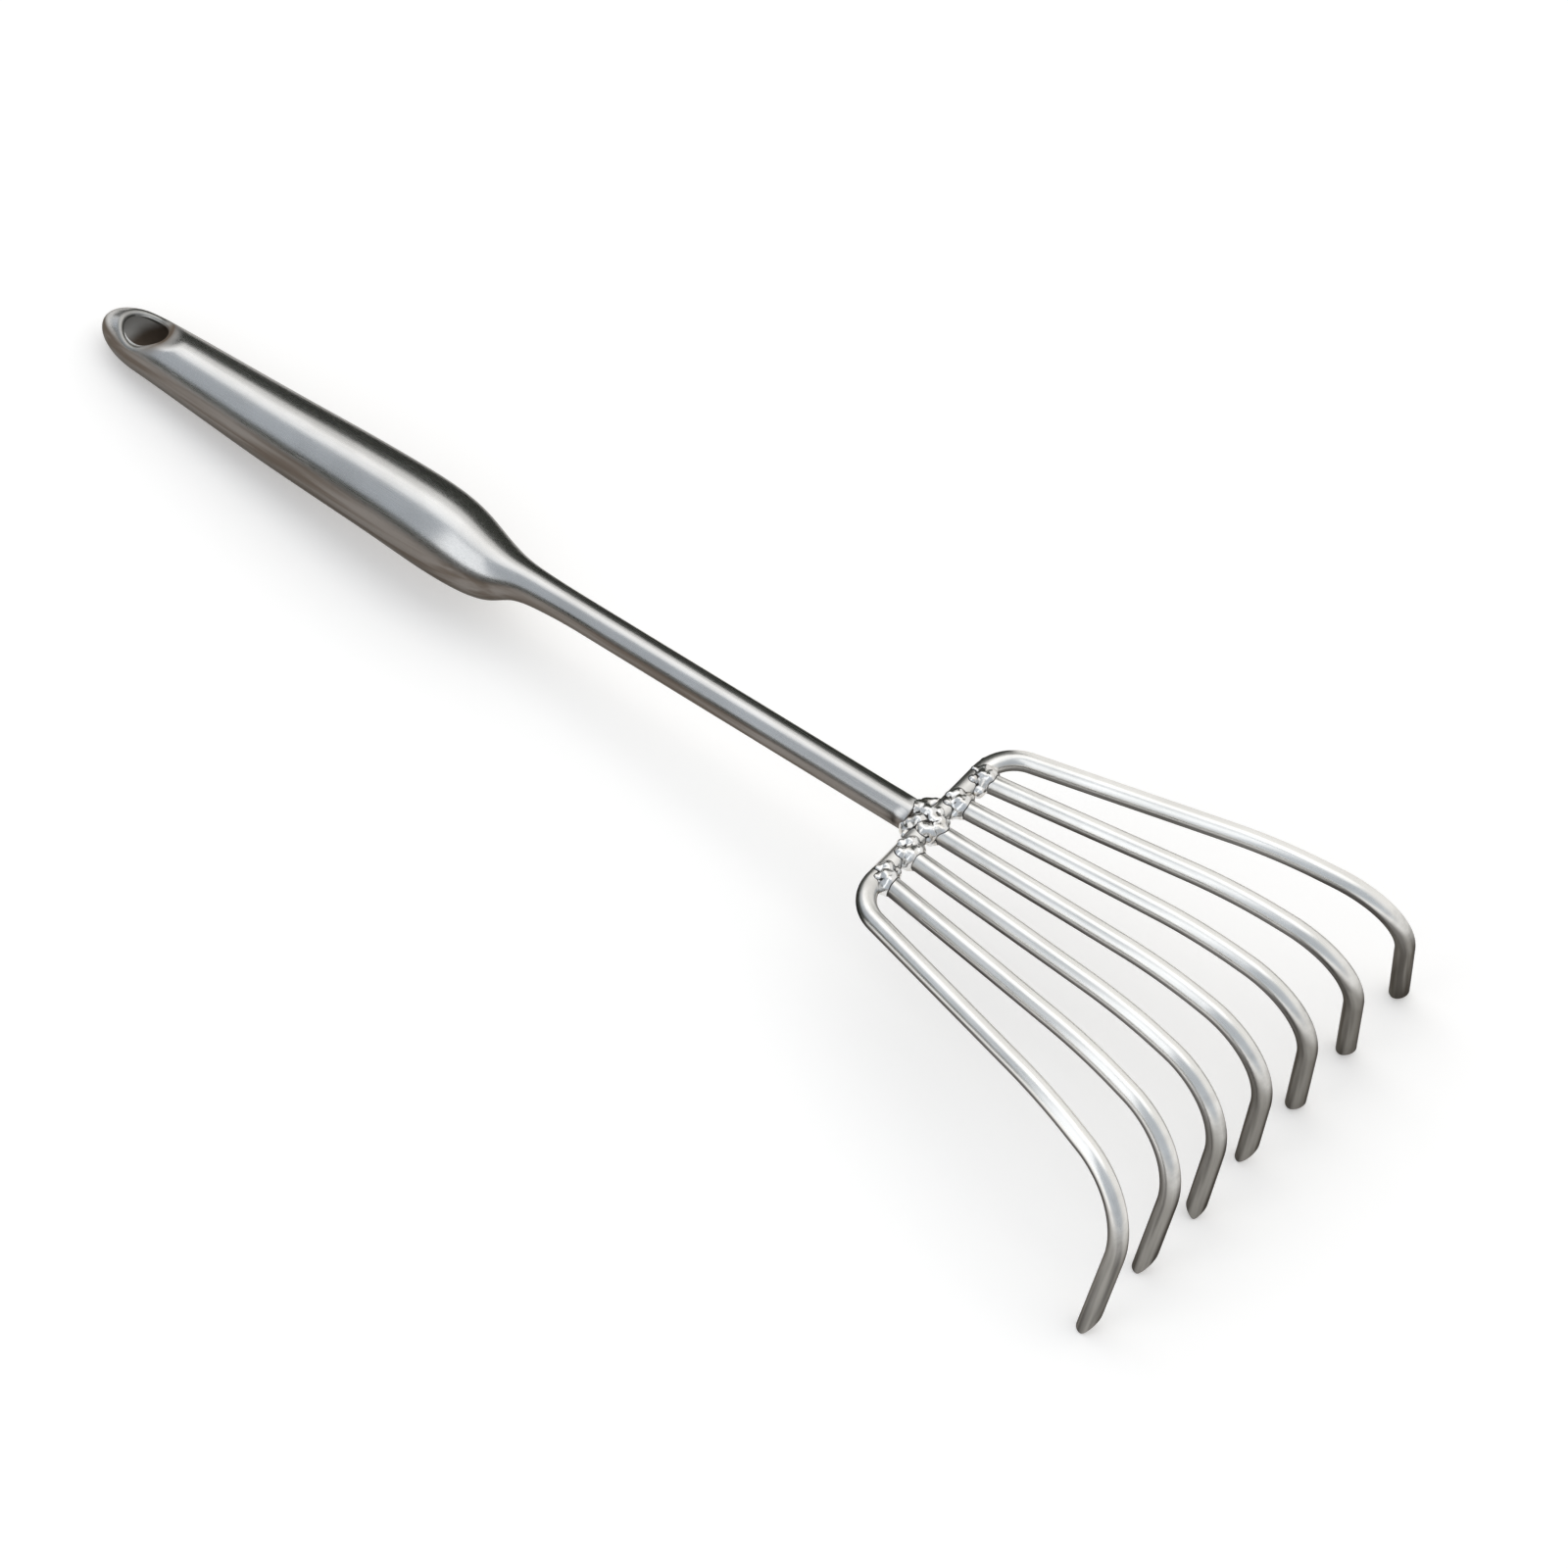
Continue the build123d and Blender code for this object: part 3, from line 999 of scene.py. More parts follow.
@dataclass
class HandleTube:
    """Grip and shaft swaged from one tube, with a hollow nose and a hanging eye in its top.

    Lengths are in millimetres. A section of the grip is a station from the nose, a radius and the height of
    its centre. The neck gives the radius beyond the shaft's. The fields of the front and of the raw rows say
    where the hollow's raw steel and its painted shade show around the eye.
    """

    reach: float = 292.0
    shaft_radius: float = 4.75
    shaft_bore: float = 2.75
    shaft_start: float = 174.0
    shaft_end: float = 287.1
    end_edge: float = 0.35
    end_ring: float = 0.30
    nose_length: float = 17.5
    nose_radius: float = 8.6
    nose_lift: float = 2.4
    nose_wall: float = 4.6
    wall: float = 1.5
    sections: tuple = (
        (62.0, 10.7, 1.1),
        (110.0, 12.3, 0.5),
        (131.0, 11.55, -1.9),
        (143.0, 8.65, -3.6),
        (150.5, 6.2, -1.5),
    )
    neck: tuple = (160.0, 0.35, -0.4)
    eye_at: float = 15.3
    eye_half_length: float = 6.9
    eye_half_width: float = 5.3
    eye_rounding: float = 1.2
    press_depth: float = 1.2
    press_length: float = 7.0
    press_width: float = 6.0
    press_rise: float = 4.0
    front_from: float = 0.1
    front_to: float = 0.8
    raw_rows: int = 15
    raw_fade: float = 1.5
    edge_wear: float = 0.7
    chart_end: float = 44.0
    around: int = 176
    rim_rings: int = 9
    nose_rings: int = 56
    hollow_rings: int = 30
    grip_rings: int = 150
    shaft_rings: int = 30
    bore_grip_skip: int = 3
    bore_shaft_skip: int = 2
    crowding: float = 1.25
    spline_points: int = 1200
    grip_points: int = 900
    nose_points: int = 240
    edge_points: int = 400

    def spline(self, points: np.ndarray, start: np.ndarray, end: np.ndarray) -> np.ndarray:
        """Smooth line through points, with the directions at its ends given.

        Args:
            points: The points, one in each row.
            start: Unit direction at the first point.
            end: Unit direction at the last point.

        Returns:
            Points close together along the line.
        """
        gaps = np.linalg.norm(np.diff(points, axis=0), axis=1)
        knots = np.concatenate([[0.0], np.cumsum(gaps)])
        count = len(points)
        matrix, wanted = np.eye(count), np.zeros_like(points)
        wanted[0], wanted[-1] = start, end
        for i in range(1, count - 1):
            back, ahead = 1 / gaps[i - 1], 1 / gaps[i]
            matrix[i, i - 1 : i + 2] = back, 2 * (back + ahead), ahead
            wanted[i] = 3 * ((points[i] - points[i - 1]) * back**2 + (points[i + 1] - points[i]) * ahead**2)
        slopes = np.linalg.solve(matrix, wanted)
        place = np.linspace(0, knots[-1], self.spline_points)
        leg = np.clip(np.searchsorted(knots, place, side="right") - 1, 0, count - 2)
        gap = gaps[leg][:, None]
        part = (place - knots[leg])[:, None] / gap
        rest = 1 - part
        return (
            rest**2 * (1 + 2 * part) * points[leg]
            + part**2 * (1 + 2 * rest) * points[leg + 1]
            + gap * part * rest * (rest * slopes[leg] - part * slopes[leg + 1])
        )

    def skin(self, wall: float, bore: float, nose_wall: float) -> TubeSkin:
        """Outline of the outer skin, or of the hollow inside it.

        Args:
            wall: Thickness to take off the grip's radius.
            bore: Radius in the shaft.
            nose_wall: Thickness to take off the nose's length, zero for the outer skin.

        Returns:
            The skin.
        """
        taper = (self.sections[0][1] - self.nose_radius) / (self.sections[0][0] - self.nose_length)
        blend = atan(taper * self.nose_length / self.nose_radius)
        tail = self.nose_length * (1 - sin(blend))
        tail_radius = self.nose_radius * cos(blend) - wall
        rows = [(tail, tail_radius, self.nose_lift)]
        rows += [(station, radius - wall, lift) for station, radius, lift in self.sections]
        rows += [(self.neck[0], bore + self.neck[1], self.neck[2]), (self.shaft_start, bore, 0.0)]
        rows = np.array(rows)
        edges = []
        for side in (1, -1):
            points = np.stack([rows[:, 0], rows[:, 2] + side * rows[:, 1]], axis=-1)
            slope = np.array([1.0, side * taper])
            edges.append(self.spline(points, slope / np.linalg.norm(slope), np.array([1.0, 0.0])))
        station = np.linspace(tail, self.shaft_start, self.grip_points)
        crown, belly = (np.interp(station, edge[:, 0], edge[:, 1]) for edge in edges)
        grip = np.stack([station, (crown + belly) / 2, (crown - belly) / 2], axis=-1)
        if nose_wall:
            turn = np.linspace(0, pi / 2, self.nose_points)
            nose_x, nose_r = tail - (tail - nose_wall) * np.cos(turn), tail_radius * np.sin(turn)
        else:
            turn = np.linspace(0, pi / 2 - blend, self.nose_points)
            nose_x = self.nose_length * (1 - np.cos(turn))
            nose_r = self.nose_radius * np.sin(turn)
        nose = np.stack([nose_x, np.full_like(nose_x, self.nose_lift), nose_r], axis=-1)
        shaft = np.array([[self.shaft_end, 0.0, bore]])
        line = np.vstack([nose[:-1], grip, shaft])
        steps = np.linalg.norm(np.diff(line[:, [0, 2]], axis=0), axis=1)
        return TubeSkin(np.column_stack([np.concatenate([[0.0], np.cumsum(steps)]), line]))

    def spread(self, skin: TubeSkin, rim: np.ndarray, count: int) -> np.ndarray:
        """Rings of the skin from the eye's rim over the nose to the grip.

        Args:
            skin: The skin.
            rim: Points on it around the eye.
            count: Number of rings.

        Returns:
            The rings, the rim first.
        """
        flat = skin.chart(rim)
        middle = np.array([0.0, float(skin.distance(np.array(self.eye_at)))])
        outward = (flat - middle) / np.linalg.norm(flat - middle, axis=1)[:, None]
        limit = float(skin.distance(np.array(self.chart_end)))
        along = outward @ middle
        far = -along + np.sqrt(along**2 - middle @ middle + limit**2)
        edge = middle + far[:, None] * outward
        share = (np.linspace(0, 1, count) ** self.crowding)[:, None, None]
        return skin.from_chart(flat + share * (edge - flat))

    def tube(self, skin: TubeSkin, ring: np.ndarray, stations: np.ndarray) -> np.ndarray:
        """Rings of the skin further along the tube.

        Args:
            skin: The skin.
            ring: A ring that is already there, which the new ones line up with.
            stations: Where the new rings lie.

        Returns:
            The rings.
        """
        middle = skin.column(skin.distance(ring[:, 0]), 2)
        turn = np.arctan2(ring[:, 2] - middle, ring[:, 1])
        distance = np.repeat(skin.distance(stations)[:, None], len(turn), axis=1)
        return skin.place(distance, np.repeat(turn[None], len(stations), axis=0))

    def turns(self) -> np.ndarray:
        """Angles of the points around the eye, from its front."""
        return np.linspace(0, 2 * pi, self.around, endpoint=False)

    def eye(self, outer: TubeSkin, inner: TubeSkin) -> np.ndarray:
        """Rings of the eye's rim, from the outer skin over the rounded edge and down to the hollow.

        Args:
            outer: The outer skin.
            inner: The skin of the hollow.

        Returns:
            The rings.
        """
        ahead, left = np.cos(self.turns()), np.sin(self.turns())
        wall = np.stack([self.eye_at + self.eye_half_length * ahead, self.eye_half_width * left], axis=-1)
        out = np.stack([ahead / self.eye_half_length, left / self.eye_half_width], axis=-1)
        out /= np.linalg.norm(out, axis=1)[:, None]
        edge = self.eye_rounding
        steps = edge * np.linspace(0, 2, self.edge_points)
        spots = wall[:, None] + steps[:, None] * out[:, None]
        heights = outer.top(spots[..., 0], spots[..., 1])
        lifted = heights - np.sqrt(np.maximum(edge**2 - (steps - edge) ** 2, 0.0))
        touch = lifted.argmin(axis=1)
        level = lifted.min(axis=1)
        first = np.arctan2(heights[np.arange(self.around), touch] - level, steps[touch] - edge)
        rows = []
        for share in np.linspace(0, 1, self.rim_rings):
            angle = first + share * (pi - first)
            spot = wall + (edge + edge * np.cos(angle))[:, None] * out
            rows.append(np.column_stack([spot, level + edge * np.sin(angle)]))
        floor = inner.top(wall[:, 0], wall[:, 1])
        for share in (0.5, 1.0):
            rows.append(np.column_stack([wall, level + share * (floor - level)]))
        return np.array(rows)

    def press(self, rows: np.ndarray) -> None:
        """Presses the wall down in front of the eye, as the drift left it.

        Args:
            rows: Rings of points, which are moved.
        """
        far = ((rows[..., 0] - self.eye_at - self.eye_half_length) / self.press_length) ** 2
        far += (rows[..., 1] / self.press_width) ** 2
        upper = np.clip((rows[..., 2] - self.nose_lift) / self.press_rise, 0, 1)
        rows[..., 2] -= self.press_depth * upper * np.clip(1 - far, 0, 1) ** 2

    def shaft_face(self, ring: np.ndarray) -> np.ndarray:
        """Rings of the shaft's flat end.

        Args:
            ring: The last ring of the shaft's outside, just before its rounded edge.

        Returns:
            The rings from the outside in.
        """
        middle = np.array([self.shaft_end, 0.0, 0.0])
        shares = (self.end_edge / self.shaft_radius, self.end_ring)
        rows = np.array([ring + (middle - ring) * share for share in shares])
        rows[..., 0] = self.shaft_end
        return rows

    def wear(self, mesh: Mesh, count: int, outside: int, rim: int) -> None:
        """Stores where the tube is raw inside, which also carries the painted shade, and where its eye is
        worn.

        Args:
            mesh: The tube.
            count: Number of its rings.
            outside: Number of rings on its outside, which come first.
            rim: Place of the first ring of the eye's rim, after those inside.
        """
        front = (np.cos(self.turns()) - self.front_from) / (self.front_to - self.front_from)
        front = np.clip(front, 0, 1)
        front = front**2 * (3 - 2 * front)
        inside = np.zeros((count, self.around))
        inside[outside:rim] = 1.0
        # The eye's front lip and the first rows of the nose take the raw tone with its painted shade
        inside[rim:] = front
        inside[: self.raw_rows] = front * np.linspace(1.0, 0.0, self.raw_rows)[:, None] ** self.raw_fade
        worn = np.zeros_like(inside)
        worn[rim:] = 1 - front
        worn[0] = self.edge_wear * (1 - front)
        store(mesh, "inside", inside.ravel())
        store(mesh, "worn", worn.ravel())

    def build(self, finish: Material) -> None:
        """Builds the tube and fits it.

        Args:
            finish: Its steel.
        """
        outer = self.skin(0.0, self.shaft_radius, 0.0)
        inner = self.skin(self.wall, self.shaft_bore, self.nose_wall)
        rim = self.eye(outer, inner)
        nose = self.spread(outer, rim[0], self.nose_rings)
        hollow = self.spread(inner, rim[-1], self.hollow_rings)
        for part in (rim, nose, hollow):
            self.press(part)
        grip_stations = np.linspace(self.chart_end, self.shaft_start, self.grip_rings)[1:]
        shaft_stations = np.linspace(self.shaft_start, self.shaft_end - self.end_edge, self.shaft_rings)[1:]
        grip = self.tube(outer, nose[-1], np.concatenate([grip_stations, shaft_stations]))
        grip = np.concatenate([grip, self.shaft_face(grip[-1])])
        bore_grip = grip_stations[:: self.bore_grip_skip]
        bore_shaft = shaft_stations[1 :: self.bore_shaft_skip]
        bore = self.tube(inner, hollow[-1], np.concatenate([bore_grip, bore_shaft, [self.shaft_end]]))
        rows = np.concatenate([nose, grip, bore[::-1], hollow[::-1], rim[-2:0:-1]])
        rows[..., 0] -= self.reach
        ring = np.concatenate([rows[..., 1:], np.zeros_like(rows[..., :1])], axis=-1) * MM
        piece = skin_object("polished_handle_tube", TOOL.place(rows), rows[..., 0] * MM, ring, None)
        outside = len(nose) + len(grip)
        self.wear(piece.data, len(rows), outside, outside + len(bore) + len(hollow))
        fit(piece, "handle_tube", finish)


@dataclass
class WeldBeads:
    """Weld metal melted between the crossbar, the tines and the shaft.

    Lengths are in millimetres. A lump is a place along the shaft, to the left and up from its joint, and a
    radius. Cores lie inside the rods, rings of lumps bite into a tine's start, and the seams are the lines
    where dark scale and painted shade gather.
    """

    head: TineHead
    tube: HandleTube
    core_inset: float = 0.25
    core_step: float = 0.7
    core_reach: float = 4.6
    core_ahead: float = 2.4
    seam_reach: float = 12.0
    shaft_reach: float = 20.0
    ring_lumps: int = 8
    ring_lump: float = 1.95
    ring_phase: float = 0.25
    bite: float = 0.60
    uneven: float = 0.20
    least_size: float = 0.88
    most_size: float = 1.08
    ball_detail: int = 4
    voxel: float = 0.2
    band: float = 0.4
    threshold: float = 0.1
    bubble_faces: int = 2000
    melt: int = 22
    warp: float = 1.0
    warp_scale: float = 300.0
    crease_height: float = 1.05
    crease_scale: float = 185.0
    crease_level: float = 0.20
    hollow_depth: float = 0.05
    hollow_reach: int = 8
    seam_width: float = 0.34
    tine_lumps: tuple = (
        (1.0, -2.3, 1.9, 2.10),
        (0.8, 2.0, 2.0, 2.05),
        (-0.9, 0.3, 2.0, 1.80),
        (2.4, -0.3, 2.3, 1.90),
        (3.9, 0.9, 2.0, 1.60),
        (1.0, -2.2, -1.9, 2.00),
        (0.9, 2.2, -1.9, 2.00),
        (3.0, -3.5, 0.0, 1.90),
        (3.0, 3.5, 0.0, 1.90),
    )
    hub_lumps: tuple = (
        (-4.2, 0.8, -0.7, 4.15),
        (-2.8, 0.6, -0.5, 4.00),
        (-1.2, 0.2, 0.0, 3.70),
        (-5.1, 3.9, -1.7, 1.45),
        (-5.2, 4.0, 0.9, 1.45),
        (-5.1, 3.2, 2.5, 1.45),
        (-5.3, 1.6, 3.7, 1.40),
        (-4.9, 0.0, 4.0, 1.40),
        (-5.0, -4.0, 0.5, 1.70),
        (-5.1, -4.1, -1.4, 1.80),
        (-5.2, -2.8, -3.3, 1.75),
        (-5.2, 0.6, -4.2, 1.60),
        (-5.8, 3.9, 0.2, 1.20),
        (-4.9, 4.9, 0.0, 2.20),
        (-4.0, 6.0, 0.0, 2.10),
        (-3.1, 7.3, 0.0, 1.70),
        (-2.4, 8.6, 0.0, 1.30),
        (-3.4, 2.7, 2.9, 2.30),
        (-4.0, -4.6, -0.6, 2.10),
        (-3.2, -5.2, -0.4, 1.90),
        (-2.4, -6.3, 0.0, 1.50),
        (-3.2, -3.3, -2.2, 2.40),
        (-3.4, -2.6, 1.6, 2.00),
        (-2.0, -3.6, 1.0, 2.20),
        (-1.6, -1.6, 2.6, 2.30),
        (-1.2, 1.6, 3.0, 2.40),
        (0.5, -2.8, 2.1, 2.30),
        (0.8, 0.2, 2.9, 2.40),
        (0.6, 3.6, 1.9, 2.20),
        (2.6, -1.4, 2.3, 2.10),
        (2.6, 1.5, 2.3, 2.10),
        (4.3, 0.2, 2.0, 1.90),
        (3.0, -3.7, 0.0, 2.10),
        (3.0, 3.7, 0.0, 2.10),
        (0.0, -2.8, -2.2, 2.10),
        (0.0, 2.8, -2.2, 2.10),
        (0.0, 0.0, -2.6, 2.20),
        (-3.4, 0.6, -3.2, 2.10),
        (2.6, 0.0, -2.4, 2.00),
    )
    tree: NodeTree = field(init=False)

    def __post_init__(self) -> None:
        """Builds the tree once."""
        self.tree = self.bead_tree()

    def bead_tree(self) -> NodeTree:
        """Builds Geometry Nodes that melt balls into one bead, crease it and mark its hollows.

        Returns:
            The tree.
        """
        tree, wiring, given, result = new_shape_tree(
            "Weld bead",
            {
                "Voxel": "NodeSocketFloat",
                "Melt": "NodeSocketInt",
                "Bubble Faces": "NodeSocketInt",
                "Crease Height": "NodeSocketFloat",
                "Crease Scale": "NodeSocketFloat",
                "Hollow Depth": "NodeSocketFloat",
            },
        )
        place = wiring.out("GeometryNodeInputPosition")
        facing = wiring.out("GeometryNodeInputNormal")
        # A ball of each lump's size
        lump = wiring.out("GeometryNodeInputNamedAttribute", {"Name": "lump"}, data_type="FLOAT")
        size = wiring.out("ShaderNodeCombineXYZ", {0: lump, 1: lump, 2: lump})
        ball = wiring.out("GeometryNodeMeshIcoSphere", {"Radius": 1.0, "Subdivisions": self.ball_detail})
        points = wiring.out("GeometryNodeMeshToPoints", {"Mesh": given["Geometry"]})
        balls = {"Points": points, "Instance": ball, "Scale": size}
        bead = wiring.out("GeometryNodeInstanceOnPoints", balls)
        bead = wiring.out("GeometryNodeRealizeInstances", {"Geometry": bead})
        # One skin around the balls, without the bubbles inside
        filled = {"Mesh": bead, "Voxel Size": given["Voxel"], "Interior Band Width": self.band * MM}
        bead = wiring.out("GeometryNodeMeshToVolume", filled, resolution_mode="VOXEL_SIZE")
        bead = wiring.out("GeometryNodeVolumeToMesh", {"Volume": bead, "Threshold": self.threshold})
        shell = wiring.out("GeometryNodeInputMeshIsland", socket="Island Index")
        faces = wiring.out("GeometryNodeAccumulateField", {"Group ID": shell}, "Total", domain="FACE")
        bubble = {"Geometry": bead, "Selection": wiring.math("LESS_THAN", faces, given["Bubble Faces"])}
        bead = wiring.out("GeometryNodeDeleteGeometry", bubble, domain="FACE")
        # The skin melted together
        melted = {"Value": place, "Iterations": given["Melt"]}
        melted = wiring.out("GeometryNodeBlurAttribute", melted, data_type="FLOAT_VECTOR")
        bead = wiring.out("GeometryNodeSetPosition", {"Geometry": bead, "Position": melted})
        # Domes on warped cells, with creases between them
        bent = wiring.out("ShaderNodeTexNoise", {"Vector": place, "Scale": self.warp_scale}, "Color")
        bent = wiring.vector("ADD", place, wiring.scaled(bent, self.warp * MM))
        cells = {"Vector": bent, "Scale": given["Crease Scale"]}
        cells = wiring.out("ShaderNodeTexVoronoi", cells, "Distance")
        dome = wiring.math("SUBTRACT", self.crease_level, wiring.times(cells, cells))
        offset = wiring.scaled(facing, wiring.times(dome, given["Crease Height"]))
        bead = wiring.out("GeometryNodeSetPosition", {"Geometry": bead, "Offset": offset})
        # Hollows, which lie below the evened skin
        even = {"Value": place, "Iterations": self.hollow_reach}
        even = wiring.out("GeometryNodeBlurAttribute", even, data_type="FLOAT_VECTOR")
        sunk = {0: wiring.vector("SUBTRACT", even, place), 1: facing}
        sunk = wiring.out("ShaderNodeVectorMath", sunk, "Value", operation="DOT_PRODUCT")
        bead = wiring.keep(bead, "hollow", wiring.math("DIVIDE", sunk, given["Hollow Depth"]), "FLOAT")
        bead = wiring.out("GeometryNodeSetShadeSmooth", {"Geometry": bead})
        end_shape_tree(wiring, bead, given, result)
        return tree

    def core(self, start: tuple, end: tuple) -> list:
        """Balls in a row inside a rod, which the bead flows out of.

        Args:
            start: The first ball's place in the tool's plane.
            end: The last ball's place.

        Returns:
            Place and radius of every ball.
        """
        gap = np.array(end) - np.array(start)
        count = int(np.linalg.norm(gap) / self.core_step) + 1
        size = self.head.rod_radius - self.core_inset
        return [(*(np.array(start) + share * gap), size) for share in np.linspace(0, 1, count)]

    def ring(self, along: float, left: float) -> list:
        """Lumps around the start of a tine.

        Args:
            along: The ring's place along the shaft.
            left: Its place to the left.

        Returns:
            Place and radius of every lump.
        """
        turns = 2 * pi * (np.arange(self.ring_lumps) + self.ring_phase) / self.ring_lumps
        radius = self.head.rod_radius - self.bite
        return [(along, left + radius * cos(turn), radius * sin(turn), self.ring_lump) for turn in turns]

    def rods(self, tine: Tine) -> list:
        """Rods that meet at one joint.

        Args:
            tine: The tine that is welded on there.

        Returns:
            Start, end and radius of the tine and of the crossbar beside it.
        """
        radius, root, reach = self.head.rod_radius, tine.root, self.seam_reach
        near = radius + self.head.tine_gap
        far = near + reach
        return [
            ((near, tine.left(near), 0.0), (far, tine.left(far), 0.0), radius),
            ((0.0, root - reach, 0.0), (0.0, root + reach, 0.0), radius),
        ]

    def joint(self, tine: Tine) -> tuple:
        """Balls of the joint between the crossbar and one tine.

        Args:
            tine: The tine.

        Returns:
            The rods' cores and the ring of lumps.
        """
        root, reach = tine.root, self.core_reach
        far = self.head.rod_radius + self.head.tine_gap + self.core_ahead
        middle = self.head.rod_radius + self.head.tine_gap / 2
        balls = self.core((0, root, 0), (far, tine.left(far), 0))
        balls += self.core((0, root - reach, 0), (0, root + reach, 0))
        return balls, self.ring(middle, tine.left(middle))

    def scale_and_shade_seams(self, mesh: Mesh, rods: list) -> None:
        """Deepens the hollow attribute along the lines where a bead meets its rods, where dark scale and
        painted shade gather.

        Args:
            mesh: The bead.
            rods: Start, end and radius of every rod at the joint.
        """
        hollow = fetch(mesh.attributes["hollow"].data, "value", 1)
        spots = TOOL.local(fetch(mesh.vertices, "co", 3).reshape(-1, 3))
        for start, end, radius in rods:
            way = np.array(end) - np.array(start)
            length = np.linalg.norm(way)
            along = (spots - start) @ way / length
            side = np.linalg.norm(spots - start - along[:, None] * way / length, axis=1) - radius
            clear = np.maximum(side, np.abs(along - length / 2) - length / 2)
            hollow = np.maximum(hollow, np.clip(1 - clear / self.seam_width, 0, 1))
        mesh.attributes["hollow"].data.foreach_set("value", hollow.astype(np.float32))

    def bead(self, name: str, cores: list, lumps: list, draw: Generator, finish: Material) -> Object:
        """Melts balls into one bead.

        Args:
            name: The piece's name.
            cores: Place and radius of the balls inside the rods.
            lumps: Place and radius of every lump.
            draw: Source of the lumps' unevenness.
            finish: The weld metal.

        Returns:
            The bead.
        """
        table = np.array(lumps)
        table[:, :3] += draw.normal(0.0, self.uneven, (len(table), 3))
        table[:, 3] *= draw.uniform(self.least_size, self.most_size, len(table))
        table = np.vstack([cores, table])
        base = bpy.data.meshes.new(name + "_lumps")
        base.from_pydata(TOOL.place(table[:, :3]).tolist(), [], [])
        store(base, "lump", table[:, 3] * MM)
        values = {
            "Voxel": self.voxel * MM,
            "Melt": self.melt,
            "Bubble Faces": self.bubble_faces,
            "Crease Height": self.crease_height * MM,
            "Crease Scale": self.crease_scale,
            "Hollow Depth": self.hollow_depth * MM,
            "Finish": finish,
        }
        return link_object(name, grow(name, base, self.tree, values))

    def build(self, finish: Material) -> None:
        """Builds all beads and fits them.

        Args:
            finish: The weld metal.
        """
        draw = default_rng(SEED)
        for tine in self.head.welded_tines():
            cores, lumps = self.joint(tine)
            lumps += [(along, tine.root + left, up, size) for along, left, up, size in self.tine_lumps]
            piece = self.bead("bead_" + tine.name, cores, lumps, draw, finish)
            self.scale_and_shade_seams(piece.data, self.rods(tine))
            fit(piece, "weld_" + tine.name, finish)
        cores, lumps = self.joint(self.head.centre)
        piece = self.bead("bead_hub", cores, lumps + list(self.hub_lumps), draw, finish)
        end = self.tube.shaft_end - self.tube.reach
        shaft = ((end - self.shaft_reach, 0.0, 0.0), (end, 0.0, 0.0), self.tube.shaft_radius)
        self.scale_and_shade_seams(piece.data, [*self.rods(self.head.centre), shaft])
        fit(piece, "hub_weld", finish)


